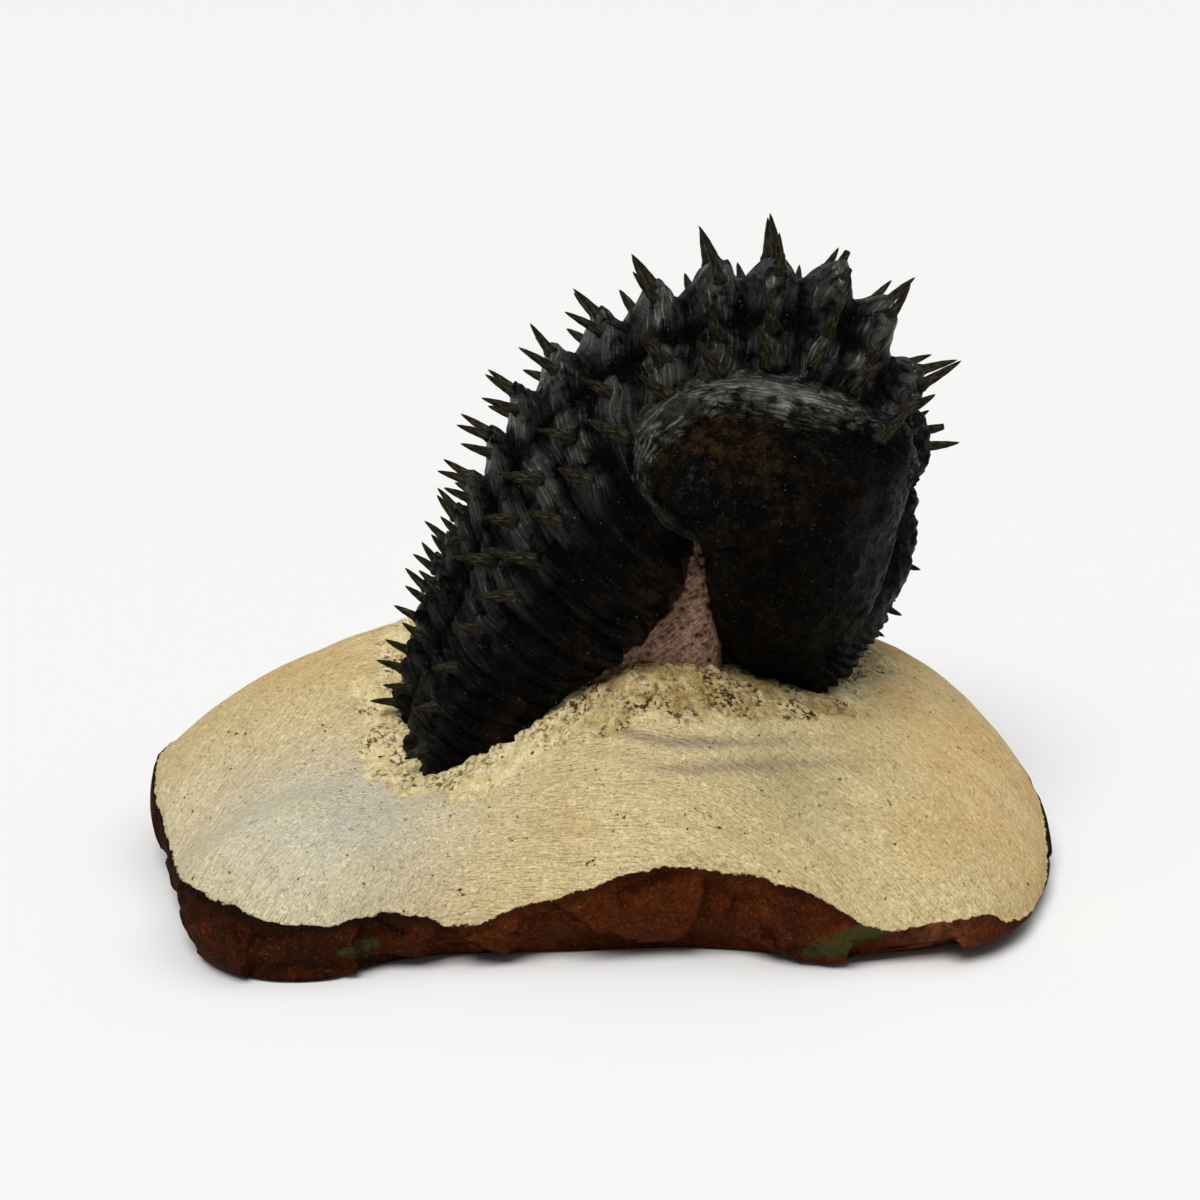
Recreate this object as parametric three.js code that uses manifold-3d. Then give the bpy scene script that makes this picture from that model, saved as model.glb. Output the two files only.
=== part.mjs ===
// A spiny trilobite, arched over the mound of limestone that it was freed from.
// Millimetres, +Z up. The stone's underside lies on Z = 0, with the middle of its bounding box at the origin.
// The animal is built in a frame of its own: +X towards the head, Y across, Z up, mid-plane on Y = 0.
// Its thorax and tail are lofted through cross-sections that fan round the arch. A cross-section is half an
// ellipse: its top is on the crest line down the back, its two ends are the tips of the pleurae.
import * as THREE from "three";
import { mergeVertices } from "three/addons/utils/BufferGeometryUtils.js";
import Module from "manifold-3d";

const wasm = await Module();
wasm.setup();

// Driving dimensions
const GAP = 0.34; // clear space between neighbouring plates
const CLEARANCE = 0.5; // clear space round the plates in the head's recess and in the stone
const ANIMAL_TURN = 5; // degrees about Z, head end away from the front
const ANIMAL_Y = -2; // where the animal's mid-plane crosses the middle of the stone
const SEGMENTS = 11; // rings in the thorax
const TAIL_RINGS = 11; // rings marked on the tail shield
const RING_CREST = 0.6; // how far back in its ring the crest of each ring lies
const RING_HEIGHT = 2.8; // of an axial ring, crest above saddle
const RIB_HEIGHT = 1.1; // of a pleura, crest above furrow
const AXIS_HALF = 8.6; // half width of the axial lobe in the thorax
const FURROW_DEPTH = 1.3; // of the groove between the axial lobe and the pleurae
const CHEEK_HALF = 25.5; // half width of the head over the cheeks
const HEAD_NARROWING = 0.18; // of its width, towards the front margin
const MOUND_HEIGHT = 27.5;
const BASE_INSET = 0.9; // the flat underside's share of the stone's outline

// Spines: lengths, and degrees that they lean towards the tail, each ring by ring
const SPINE_RADIUS = 0.82;
const SPINE_SINK = 0.8; // how far a spine's root goes into the plate
const SNAPPED_TIP = 0.55; // tip radius of a snapped spine, as a share of its root's
const AXIAL_SPINES = [4.8, 4.2, 3.2, 5.2, 5.0, 4.8, 4.6, 4.4, 4.2, 4.0, 3.8];
const AXIAL_LEANS = [-8, 0, 2, 26, 32, 42, 50, 38, 50, 54, 50];
const AXIAL_SPLAY = 0.2; // how far the outer two of three axial spines point to the side, for each 1 of length
const AXIAL_SPREAD = 0.62; // where the outer two of three axial spines stand, as a share of AXIS_HALF
const SNAPPED_AXIAL = { 3: [-1, 0], 8: [1] }; // ring: the sides whose axial spine has lost its tip
const PLEURAL_SPINE = 5.2;
const PLEURAL_LEANS = [5, 10, 12, 34, 38, 50, 60, 62, 60, 60, 62];
const PLEURAL_SPLAY = 0.5;
const FAR_SHORTER = 0.8; // the far side's pleural spines against the near side's
const INNER_ROW = 41; // degrees from the crest line
const OUTER_ROW = 54;
const OUTER_ROW_BY_HEAD = 52; // the outer row on the rings that the cheeks overhang
const TAIL_ROW = 48; // the one row of spines beside the axial ones on the tail
const TAIL_SPINE = 3.4;
const TAIL_AXIAL_LEAN = 22;
const TAIL_PLEURAL_LEAN = 46;
const TAIL_SPINE_RINGS = 8; // the tail's rings that stand clear of the stone and carry spines
const FAR_SPINE_RINGS = 4; // the same on the far side, where the stone lies higher

// Cross-sections, one for every second ring boundary from the back of the head to the buried end of the tail:
// crest X and Z, pleural tip X and Z, half width, and how far the pleurae sweep tailwards half way down.
const SECTIONS = [
  [38.9, 54.2, 19.5, 47.6, 17.0, 0.0],
  [31.3, 68.1, 16.3, 47.4, 17.0, 0.0],
  [17.7, 71.2, 12.6, 46.2, 17.5, 0.5],
  [3.7, 66.9, 9.2, 43.4, 19.5, 2.0],
  [-7.4, 58.7, 6.6, 37.4, 22.0, 3.3],
  [-14.0, 48.8, 1.8, 31.2, 22.0, 3.3],
  [-18.1, 37.9, -4.6, 26.4, 20.5, 2.5],
  [-21.8, 28.6, -10.2, 21.4, 19.5, 1.5],
  [-24.5, 18.6, -14.5, 15.5, 18.5, 0.5],
  [-25.4, 8.5, -18.0, 8.0, 17.0, 0.0],
];
const TAIL_END = 2 * (SECTIONS.length - 1);

// The head seen from the side, clockwise from the back of the head: X, Z and squareness of the section there.
const HEAD_MIDDLE = [20, 42];
const HEAD_ROUND = 19; // radius of the plain round that the outline fades to over the cheeks
const HEAD_OUTLINE = [
  [38.2, 50.5, 2.2],
  [37.8, 44.0, 2.0],
  [37.0, 37.0, 2.0],
  [34.6, 31.0, 2.0],
  [31.8, 26.0, 2.0],
  [28.4, 20.4, 2.1],
  [24.8, 18.0, 2.3],
  [19.8, 21.2, 2.6],
  [15.2, 26.0, 3.0],
  [11.4, 31.2, 3.4],
  [10.2, 38.0, 3.8],
  [8.8, 44.4, 4.2],
  [3.6, 46.8, 3.6],
  [0.4, 51.4, 3.4],
  [1.6, 56.4, 3.4],
  [6.0, 60.0, 3.2],
  [12.0, 61.8, 3.2],
  [20.6, 61.0, 3.2],
  [30.2, 58.2, 3.0],
  [36.0, 55.5, 2.8],
];

const HEAD_ANGLES = [10, 18, 23, 28, 34, 42, 52, 63, 75]; // degrees across the head, each side of its middle
const EYE = { middle: [31.4, 13.6, 49.6], radii: [3.6, 2.7, 3.4], spine: 3.8, spineLean: [0.8, 0.2, 0.5] };

// Spines of the head: place along the outline, degrees to each side, length, whether the tip is snapped off.
const HEAD_SPINES = [
  [0.0, 0, 4.2, true],
  [0.0, 11.5, 4.4, false],
  [2.35, 7, 2.0, false],
  [3.15, 0, 1.8, false],
  [3.2, 14, 2.0, false],
  [3.85, 6, 2.2, false],
  [18.25, 38, 6.0, false],
];

// The stone seen from above, anticlockwise from the front left corner: X, Y, height of the broken rim there,
// and how far the edge of the underside is lifted.
const STONE_MIDDLE = [0, 2];
const STONE_OUTLINE = [
  [-46.0, -35.5, 9.0, 0.5],
  [-39.0, -42.2, 5.0, 0.0],
  [-30.0, -42.63, 6.0, 0.0],
  [-22.0, -39.5, 6.6, 1.4],
  [-13.0, -38.5, 5.6, 1.0],
  [-4.0, -38.0, 7.6, 2.0],
  [2.0, -37.5, 9.6, 2.6],
  [9.0, -37.0, 11.2, 2.8],
  [16.0, -37.5, 10.0, 1.6],
  [24.0, -39.0, 7.4, 0.4],
  [31.0, -38.6, 3.8, 0.4],
  [41.0, -37.0, 4.6, 1.2],
  [47.5, -31.0, 3.4, 1.0],
  [52.0, -20.0, 3.0, 0.6],
  [54.0, -6.0, 3.6, 0.4],
  [52.5, 8.0, 4.5, 0.2],
  [46.0, 21.0, 6.0, 0.0],
  [34.0, 31.5, 7.0, 0.6],
  [18.0, 40.5, 7.5, 1.0],
  [0.0, 43.0, 7.0, 0.6],
  [-18.0, 41.5, 7.5, 0.0],
  [-34.0, 33.0, 8.0, 0.4],
  [-46.0, 22.0, 8.5, 1.0],
  [-52.5, 8.0, 9.5, 1.2],
  [-54.0, -6.0, 10.5, 1.0],
  [-49.4, -22.0, 6.5, 0.8],
];

const STONE_SHARES = [0.985, 0.93, 0.84, 0.74, 0.65, 0.56, 0.46, 0.32, 0.16]; // of the mound, rim to middle

// The rock under the arch, seen from the side in the animal's frame: X and Z. Its ends run into the plates.
const PILLAR_OUTLINE = [
  [-14.0, 12.0],
  [14.0, 12.0],
  [13.0, 30.0],
  [10.0, 44.5],
  [8.4, 44.5],
  [-10.0, 24.0],
];
const PILLAR_HALF_DEPTH = 18.6;

// Helpers: curves, closed surfaces and solids

/** A uniform Catmull-Rom curve through rows of numbers, where k counts rows. */
function spline(rows, k, closed = false) {
  const count = rows.length;
  const first = Math.min(Math.max(Math.floor(k), 0), closed ? count - 1 : count - 2);
  const t = k - first;
  const row = (i) => (closed ? rows[(i + count) % count] : rows[Math.min(Math.max(i, 0), count - 1)]);
  const [before, start, end, after] = [row(first - 1), row(first), row(first + 1), row(first + 2)];
  return start.map((value, n) => {
    const leaving = (end[n] - before[n]) / 2;
    const arriving = (after[n] - value) / 2;
    const cubic = 2 * value - 2 * end[n] + leaving + arriving;
    const square = 3 * end[n] - 3 * value - 2 * leaving - arriving;
    return ((cubic * t + square) * t + leaving) * t + value;
  });
}

/** 0 below low, 1 above high, and a smooth S between. */
function rise(low, high, value) {
  return THREE.MathUtils.smoothstep(value, low, high);
}

/** A round bump of height 1 and the given half width, centred on 0. */
function bump(distance, halfWidth) {
  return Math.exp(-((distance / halfWidth) ** 2));
}

/** A closed surface through loops of equal length, each end closed by a fan to a middle point. */
function loft(loops, startMiddle = meanOf(loops[0]), endMiddle = meanOf(loops.at(-1))) {
  const around = loops[0].length;
  const points = [...loops.flat(), startMiddle, endMiddle];
  const startIndex = points.length - 2;
  const endIndex = points.length - 1;
  const lastLoop = (loops.length - 1) * around;
  const index = [];
  for (let i = 0; i < around; i++) {
    const next = (i + 1) % around;
    for (let row = 0; row < lastLoop; row += around) {
      index.push(row + i, row + next, row + around + i);
      index.push(row + next, row + around + next, row + around + i);
    }
    index.push(startIndex, next, i);
    index.push(endIndex, lastLoop + i, lastLoop + next);
  }
  const geometry = new THREE.BufferGeometry().setFromPoints(points);
  geometry.setIndex(index);
  return geometry;
}

function meanOf(points) {
  const sum = points.reduce((total, point) => total.add(point), new THREE.Vector3());
  return sum.divideScalar(points.length);
}

/** A closed three.js geometry as a manifold-3d solid. */
function solidOf(geometry) {
  const bare = geometry.clone();
  bare.deleteAttribute("normal");
  bare.deleteAttribute("uv");
  const merged = mergeVertices(bare);
  const vertProperties = merged.attributes.position.array;
  const triVerts = new Uint32Array(merged.index.array);
  return new wasm.Manifold(new wasm.Mesh({ numProp: 3, vertProperties, triVerts }));
}

/** A manifold-3d solid as a named three.js mesh. */
function meshOf(name, solid, material) {
  const { vertProperties, triVerts } = solid.getMesh();
  const geometry = new THREE.BufferGeometry();
  geometry.setAttribute("position", new THREE.BufferAttribute(vertProperties, 3));
  geometry.setIndex(new THREE.BufferAttribute(triVerts, 1));
  geometry.computeVertexNormals();
  const mesh = new THREE.Mesh(geometry, material);
  mesh.name = name;
  return mesh;
}

// Thorax and tail: the surface of the back

/** The plain half ellipse of one cross-section; place counts ring boundaries from the head. */
function backBase(place, angle) {
  const [crestX, crestZ, tipX, tipZ, halfWidth, sweep] = spline(SECTIONS, place / 2);
  const down = new THREE.Vector2(tipX - crestX, tipZ - crestZ);
  const depth = down.length();
  down.normalize();
  const share = 1 - Math.cos(angle);
  const along = depth * share;
  const tailward = 4 * sweep * share * (1 - share);
  const x = crestX + down.x * along + down.y * tailward;
  const z = crestZ + down.y * along - down.x * tailward;
  return new THREE.Vector3(x, halfWidth * Math.sin(angle), z);
}

/** Directions at a place: outwards within the section, down the section, and square to both, tailwards. */
function backDirections(place, angle) {
  const [crestX, crestZ, tipX, tipZ, , sweep] = spline(SECTIONS, place / 2);
  const chord = new THREE.Vector3(tipX - crestX, 0, tipZ - crestZ);
  const slant = 4 * sweep * (2 * Math.cos(angle) - 1);
  const square = new THREE.Vector3(chord.z, 0, -chord.x).normalize();
  const down = chord.addScaledVector(square, slant).normalize();
  const tailward = new THREE.Vector3(down.z, 0, -down.x);
  const step = 0.02;
  const across = backBase(place, angle + step).sub(backBase(place, angle - step));
  return { outward: across.cross(tailward).normalize(), down, tailward };
}

/** How far round its ring a place is, and how strongly rings are marked there. */
function ringAt(place) {
  if (place <= SEGMENTS) return { share: place - Math.min(Math.floor(place), SEGMENTS - 1), strength: 1 };
  const tailShare = (place - SEGMENTS) / (TAIL_END - SEGMENTS);
  const rings = tailShare * TAIL_RINGS;
  return { share: rings - Math.floor(rings), strength: 0.6 * (1 - 0.6 * tailShare) };
}

/** The profile of one ring from front to back: a long rise to the crest and a short steep fall behind it. */
function ringProfile(share) {
  if (share < RING_CREST) return Math.sin((Math.PI / 2) * (share / RING_CREST)) ** 1.2;
  return 1 - 0.85 * ((share - RING_CREST) / (1 - RING_CREST)) ** 2;
}

/** Height above the plain half ellipse: rings, pleural ribs and the two axial furrows. */
function backRelief(place, across, withRings) {
  const axisHalf = AXIS_HALF * (1 - 0.45 * rise(SEGMENTS, TAIL_END, place));
  const onPleura = rise(axisHalf - 1.6, axisHalf + 1.9, Math.abs(across));
  const { share, strength } = ringAt(place);
  const height = THREE.MathUtils.lerp(RING_HEIGHT, RIB_HEIGHT, onPleura) * strength;
  const furrow = FURROW_DEPTH * bump(Math.abs(across) - axisHalf - 0.6, 1.9);
  const saddle = withRings ? height * (1 - ringProfile(share)) : 0;
  return -saddle - furrow;
}

/** A point of the back. lift moves it off the surface and past the tips of the pleurae, push to the tail. */
function backPoint(place, angle, { lift = 0, push = 0, withRings = true } = {}) {
  const point = backBase(place, angle);
  const { outward, down, tailward } = backDirections(place, angle);
  point.addScaledVector(outward, backRelief(place, point.y, withRings) + lift);
  point.addScaledVector(down, 2 * lift * (1 - Math.cos(angle)) ** 4);
  return point.addScaledVector(tailward, push);
}

const SECTION_ANGLES = [-90, -76, -62, -49, -38, -30, -24, -18, -9, 0, 9, 18, 24, 30, 38, 49, 62, 76, 90];

/** The closed loop of one cross-section, from tip to tip over the back. */
function backLoop(place, options) {
  return SECTION_ANGLES.map((degrees) => backPoint(place, THREE.MathUtils.degToRad(degrees), options));
}

/** A smooth envelope of part of the back, long at both ends, that the head and the stone keep clear of. */
function backEnvelope(start, end) {
  const perRing = 2;
  const count = Math.round((end - start) * perRing);
  const loops = [];
  for (let i = 0; i <= count; i++) {
    const place = start + ((end - start) * i) / count;
    const push = i === 0 ? -CLEARANCE : i === count ? CLEARANCE : 0;
    loops.push(backLoop(place, { lift: CLEARANCE, push, withRings: false }));
  }
  return solidOf(loft(loops));
}

// Spines

/** A round spine from a root along a direction; a snapped one has a blunt end. */
function spine(root, direction, length, radius = SPINE_RADIUS, snapped = false) {
  const height = length + SPINE_SINK;
  const tipRadius = snapped ? radius * SNAPPED_TIP : 0;
  const cone = new THREE.CylinderGeometry(tipRadius, radius, height, 5);
  const along = direction.clone().normalize();
  const turn = new THREE.Quaternion().setFromUnitVectors(new THREE.Vector3(0, 1, 0), along);
  const middle = root.clone().addScaledVector(along, height / 2 - SPINE_SINK);
  cone.applyMatrix4(new THREE.Matrix4().compose(middle, turn, new THREE.Vector3(1, 1, 1)));
  return solidOf(cone);
}

/** A spine on the back: it leans from straight up towards the tail, in degrees, and splays to its own side. */
function backSpine(place, angle, length, { lean, splay, snapped = false }) {
  const { outward: up, tailward } = backDirections(place, 0);
  const turn = THREE.MathUtils.degToRad(lean);
  const direction = up.multiplyScalar(Math.cos(turn)).addScaledVector(tailward, Math.sin(turn));
  direction.y = Math.sign(angle) * splay;
  return spine(backPoint(place, angle), direction, length, SPINE_RADIUS, snapped);
}

/** The lateral angle of the outer two of a ring's three axial spines. */
function axialAngle(place) {
  const halfWidth = spline(SECTIONS, place / 2)[4];
  return Math.asin((AXIAL_SPREAD * AXIS_HALF) / halfWidth);
}

// The plates

function thoraxSegment(number) {
  const front = number - 1;
  const stations = [0, 0.3, RING_CREST, 0.84, 1];
  const loops = stations.map((share) => {
    const push = share === 0 ? GAP / 2 : share === 1 ? -GAP / 2 : 0;
    return backLoop(front + share, { push });
  });
  let solid = solidOf(loft(loops));
  const place = front + RING_CREST;
  for (const side of [-1, 0, 1]) {
    const length = AXIAL_SPINES[front] * (1 - 0.1 * side);
    const shape = { lean: AXIAL_LEANS[front] - 6 * side, splay: AXIAL_SPLAY };
    shape.snapped = (SNAPPED_AXIAL[number] ?? []).includes(side);
    solid = solid.add(backSpine(place, side * axialAngle(place), length, shape));
  }
  const outerRow = place < 6 ? OUTER_ROW_BY_HEAD : OUTER_ROW;
  const rows = number === 1 ? [INNER_ROW] : [INNER_ROW, outerRow];
  for (const side of [-1, 1]) {
    for (const [row, degrees] of rows.entries()) {
      const uneven = 1 + 0.12 * Math.sin(2.3 * number + 4 * row);
      const length = PLEURAL_SPINE * uneven * (side < 0 ? 1 : FAR_SHORTER);
      const angle = side * THREE.MathUtils.degToRad(degrees);
      const shape = { lean: PLEURAL_LEANS[front], splay: PLEURAL_SPLAY };
      solid = solid.add(backSpine(place, angle, length, shape));
    }
  }
  return solid;
}

function tailShield() {
  const loops = [backLoop(SEGMENTS, { push: GAP / 2 })];
  const perRing = 2;
  const count = TAIL_RINGS * perRing;
  for (let i = 1; i <= count; i++) {
    loops.push(backLoop(SEGMENTS + ((TAIL_END - SEGMENTS) * i) / count));
  }
  let solid = solidOf(loft(loops));
  for (let ring = 0; ring < TAIL_SPINE_RINGS; ring++) {
    const place = SEGMENTS + ((TAIL_END - SEGMENTS) * (ring + RING_CREST)) / TAIL_RINGS;
    const outer = axialAngle(place);
    const pleural = THREE.MathUtils.degToRad(TAIL_ROW);
    const angles = ring % 2 ? [-pleural, -outer / 2, outer / 2, pleural] : [-outer, 0, outer];
    const clear = angles.filter((angle) => angle <= 0 || ring < FAR_SPINE_RINGS);
    for (const angle of clear) {
      const shape = Math.abs(angle) === pleural
        ? { lean: TAIL_PLEURAL_LEAN, splay: PLEURAL_SPLAY }
        : { lean: TAIL_AXIAL_LEAN, splay: AXIAL_SPLAY };
      solid = solid.add(backSpine(place, angle, TAIL_SPINE, shape));
    }
  }
  return solid;
}

/** Half width of the head, which narrows from the back of the cheeks to the front margin. */
function headHalf(x, z) {
  const forwards = 0.45 * (x - 12) + 0.9 * (58 - z);
  return CHEEK_HALF * (1 - HEAD_NARROWING * rise(8, 42, forwards));
}

/** The head's surface: a closed pillow whose poles are the middles of the two cheeks. */
function headPoint(outlinePlace, across, grow = 0) {
  const rows = HEAD_OUTLINE.length;
  const [outlineX, outlineZ, squareness] = spline(HEAD_OUTLINE, (outlinePlace + rows) % rows, true);
  const power = 2 / squareness;
  const reach = Math.abs(Math.cos(across)) ** power;
  const side = Math.sign(across) * Math.abs(Math.sin(across)) ** power;
  const spoke = new THREE.Vector2(outlineX - HEAD_MIDDLE[0], outlineZ - HEAD_MIDDLE[1]);
  const rim = spoke.length() + grow;
  spoke.setLength(HEAD_ROUND * reach + (rim - HEAD_ROUND) * reach ** 2);
  const y = (headHalf(HEAD_MIDDLE[0] + spoke.x, HEAD_MIDDLE[1] + spoke.y) + grow) * side;
  const dip = headRelief(HEAD_MIDDLE[0] + spoke.x, Math.abs(y), HEAD_MIDDLE[1] + spoke.y);
  spoke.setLength(spoke.length() - dip);
  return new THREE.Vector3(HEAD_MIDDLE[0] + spoke.x, y, HEAD_MIDDLE[1] + spoke.y);
}

/** How far the head's surface dips below its pillow: the furrows behind the glabella and on each side of it. */
function headRelief(x, across, z) {
  const dorsal = rise(24, 32, x);
  const glabellaHalf = 8.2 + 0.2 * (46 - z);
  const onAxis = 1 - rise(8, 12, across);
  const occipitalFurrow = 2.2 * bump(z - 45.8, 1.4) * onAxis;
  const secondFurrow = 0.8 * bump(z - 42.2, 0.9) * onAxis;
  const axialFurrow = 2.8 * bump(across - glabellaHalf - 1.5, 2.6) * (0.3 + 0.7 * rise(26, 38, z));
  const cheekDrop = 1.6 * rise(glabellaHalf - 1, glabellaHalf + 5, across) * rise(30, 44, z);
  return dorsal * (occipitalFurrow + secondFurrow + axialFurrow + cheekDrop);
}

function headPillow(grow) {
  const perRow = 2;
  const degrees = [...HEAD_ANGLES.map((angle) => -angle).reverse(), 0, ...HEAD_ANGLES];
  const loops = degrees.map((angle) => {
    const across = THREE.MathUtils.degToRad(angle);
    const loop = [];
    for (let i = 0; i < HEAD_OUTLINE.length * perRow; i++) loop.push(headPoint(i / perRow, across, grow));
    return loop;
  });
  const half = headHalf(...HEAD_MIDDLE) + grow;
  const pole = (side) => new THREE.Vector3(HEAD_MIDDLE[0], side * half, HEAD_MIDDLE[1]);
  return solidOf(loft(loops, pole(-1), pole(1)));
}

/** A spine standing square on the head's surface. */
function headSpine(place, across, length, snapped) {
  const step = 0.04;
  const along = headPoint(place + step, across).sub(headPoint(place - step, across));
  const sideways = headPoint(place, across + step).sub(headPoint(place, across - step));
  const radius = SPINE_RADIUS * Math.min(1, 0.5 + length / 8);
  return spine(headPoint(place, across), along.cross(sideways), length, radius, snapped);
}

function headShield() {
  let solid = headPillow(0);
  for (const side of [-1, 1]) {
    const eye = new THREE.SphereGeometry(1, 10, 7);
    const [x, y, z] = EYE.middle;
    eye.scale(...EYE.radii);
    eye.translate(x, side * y, z);
    const root = new THREE.Vector3(x + 0.4, side * y, z + EYE.radii[2] - 0.6);
    const [forwards, sideways, up] = EYE.spineLean;
    const direction = new THREE.Vector3(forwards, side * sideways, up);
    solid = solid.add(solidOf(eye)).add(spine(root, direction, EYE.spine));
  }
  for (const [place, degrees, length, snapped] of HEAD_SPINES) {
    for (const side of degrees ? [-1, 1] : [1]) {
      const across = side * THREE.MathUtils.degToRad(degrees);
      solid = solid.add(headSpine(place, across, length, snapped));
    }
  }
  solid = solid.subtract(backEnvelope(0, 9));
  return solid.decompose().sort((a, b) => b.volume() - a.volume())[0];
}

// The stone

/** Height of the mound's surface, which rises again where it meets the fossil. */
function stoneHeight(x, y, rimHeight, share) {
  const mound = rimHeight + (MOUND_HEIGHT - rimHeight) * (1 - share ** 2.2) ** 0.75;
  const contact = 6 * bump(x - 7, 15) * bump(Math.abs(y - ANIMAL_Y) - 20, 8);
  const tailHollow = 9.4 * bump(x + 21, x < -21 ? 20 : 10) * bump(y + 18, y < -18 ? 14 : 18);
  const headSide = 2.8 * bump(x - 41, 14) * bump(y - 8, 22);
  return mound + contact - tailHollow + headSide;
}

function stoneBlock() {
  const perRow = 2;
  const count = STONE_OUTLINE.length * perRow;
  const outline = [];
  for (let i = 0; i < count; i++) outline.push(spline(STONE_OUTLINE, i / perRow, true));
  const ring = (share, height) =>
    outline.map(([x, y, rim, lift]) => {
      const px = STONE_MIDDLE[0] + (x - STONE_MIDDLE[0]) * share;
      const py = STONE_MIDDLE[1] + (y - STONE_MIDDLE[1]) * share;
      return new THREE.Vector3(px, py, height(px, py, rim, lift));
    });
  const loops = [
    ring(BASE_INSET, () => 0),
    ring(0.97, (x, y, rim, lift) => lift + 0.2),
    ring(1, (x, y, rim) => 0.55 * rim + 0.8),
  ];
  for (const share of STONE_SHARES) {
    loops.push(ring(share, (x, y, rim) => stoneHeight(x, y, rim, share)));
  }
  const [x, y] = STONE_MIDDLE;
  const top = new THREE.Vector3(x, y, stoneHeight(x, y, 0, 0));
  return solidOf(loft(loops, new THREE.Vector3(x, y, 0), top));
}

/** The rock left under the arch: a plain prism that the plates and the head are then cut clear of. */
function pillar() {
  const outline = new THREE.Shape(PILLAR_OUTLINE.map(([x, z]) => new THREE.Vector2(x, z)));
  const depth = 2 * PILLAR_HALF_DEPTH;
  const geometry = new THREE.ExtrudeGeometry(outline, { depth, bevelEnabled: false });
  geometry.translate(0, 0, -PILLAR_HALF_DEPTH);
  geometry.rotateX(Math.PI / 2);
  return geometry;
}

function matrixStone(animalPlace) {
  const inPlace = (solid) => solid.transform(animalPlace.elements);
  let solid = stoneBlock().add(inPlace(solidOf(pillar())));
  solid = solid.subtract(inPlace(headPillow(CLEARANCE)));
  solid = solid.subtract(inPlace(backEnvelope(4, TAIL_END)));
  return solid.decompose().sort((a, b) => b.volume() - a.volume())[0];
}

// The scene

const SHELL_COLOUR = 0x1d1e20;
const STONE_COLOUR = 0xcdbc8c;
const shellMaterial = () => new THREE.MeshStandardMaterial({ color: SHELL_COLOUR, roughness: 0.42 });

const fossil = new THREE.Group();
const animal = new THREE.Group();
animal.rotation.z = THREE.MathUtils.degToRad(ANIMAL_TURN);
animal.position.y = ANIMAL_Y;
animal.updateMatrix();
fossil.add(animal);

const stoneMaterial = new THREE.MeshStandardMaterial({ color: STONE_COLOUR, roughness: 0.9 });
fossil.add(meshOf("matrix_stone", matrixStone(animal.matrix), stoneMaterial));
animal.add(meshOf("cephalon", headShield(), shellMaterial()));
for (let number = 1; number <= SEGMENTS; number++) {
  const name = `thorax_segment_${String(number).padStart(2, "0")}`;
  animal.add(meshOf(name, thoraxSegment(number), shellMaterial()));
}
animal.add(meshOf("pygidium", tailShield(), shellMaterial()));

export default fossil;
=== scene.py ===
import math
from itertools import product

import bpy
import numpy as np
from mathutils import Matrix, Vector


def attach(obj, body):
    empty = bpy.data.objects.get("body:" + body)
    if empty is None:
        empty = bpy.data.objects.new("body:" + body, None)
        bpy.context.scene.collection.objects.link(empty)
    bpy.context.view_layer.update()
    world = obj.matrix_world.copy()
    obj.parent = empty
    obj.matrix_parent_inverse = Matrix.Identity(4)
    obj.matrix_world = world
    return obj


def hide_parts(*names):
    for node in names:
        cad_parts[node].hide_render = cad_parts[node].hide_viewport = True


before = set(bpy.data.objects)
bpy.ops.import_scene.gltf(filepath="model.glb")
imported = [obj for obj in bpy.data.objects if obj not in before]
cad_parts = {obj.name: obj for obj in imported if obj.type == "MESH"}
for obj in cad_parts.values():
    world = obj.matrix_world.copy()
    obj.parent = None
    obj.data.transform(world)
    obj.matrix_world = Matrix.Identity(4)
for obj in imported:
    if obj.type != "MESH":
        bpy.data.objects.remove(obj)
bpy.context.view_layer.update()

# ------------------------------------------------------------------------------------------
# Thorax. Eleven hinged plates of the animal's shell, now black mineral. Each is an arch with a raised axial
# ring and two ribs, and tucks its front edge under the plate ahead. Its spines grew out of swollen roots.
# Lengths are in millimetres, and the animal has a frame of its own: +X to the head, Y across, +Z up.

MM = 0.001
SEGMENTS = 11
ANIMAL_TURN, ANIMAL_Y = math.radians(5), -2.0
RING_HEIGHT, RIB_HEIGHT = 2.8, 1.1
AXIS_HALF, FURROW_DEPTH = 8.6, 1.3
# Shares of a ring: where its crest stands, and how far its front and rear edges pass its boundaries.
RING_CREST, FRONT_TUCK, REAR_OVERLAP = 0.6, 0.16, 0.07
# About the length of a ring over the back, which sets the pitch of its fibres.
RING_LENGTH = 6.5
# Spines, from the head to the tail: lengths, and degrees that they lean from straight up towards the tail.
# Splay is how far they point sideways, spread is the outer axial spines' share of the axial lobe, and the
# rows on the pleurae stand at these degrees from the crest. Two rings have axial spines that are snapped off.
AXIAL_SPINES = [4.8, 4.2, 3.2, 5.2, 5.0, 4.8, 4.6, 4.4, 4.2, 4.0, 3.8]
AXIAL_LEANS = [-8, 0, 2, 26, 32, 42, 50, 38, 50, 54, 50]
AXIAL_SPLAY, AXIAL_SPREAD = 0.2, 0.62
SNAPPED_AXIAL = {3: (-1, 0), 8: (1,)}
PLEURAL_SPINE = 5.2
PLEURAL_LEANS = [5, 10, 12, 34, 38, 50, 60, 62, 60, 60, 62]
PLEURAL_SPLAY, FAR_SHORTER = 0.5, 0.8
INNER_ROW, OUTER_ROW, OUTER_ROW_BY_HEAD = 41.0, 54.0, 52.0
# Shares of a spine's length: its root under the shell, and the reach of a whole and of a snapped one.
SPINE_ROOT, WHOLE_REACH, SNAPPED_REACH = 0.2, 0.985, 0.62
# Points round a spine and along it; points across a plate, and rows in its tucked edge and over the rest.
SPINE_SIDES, SPINE_RINGS = 14, 20
PLATE_COLUMNS, TUCK_ROWS, PLATE_ROWS = 270, 5, 34

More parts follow.
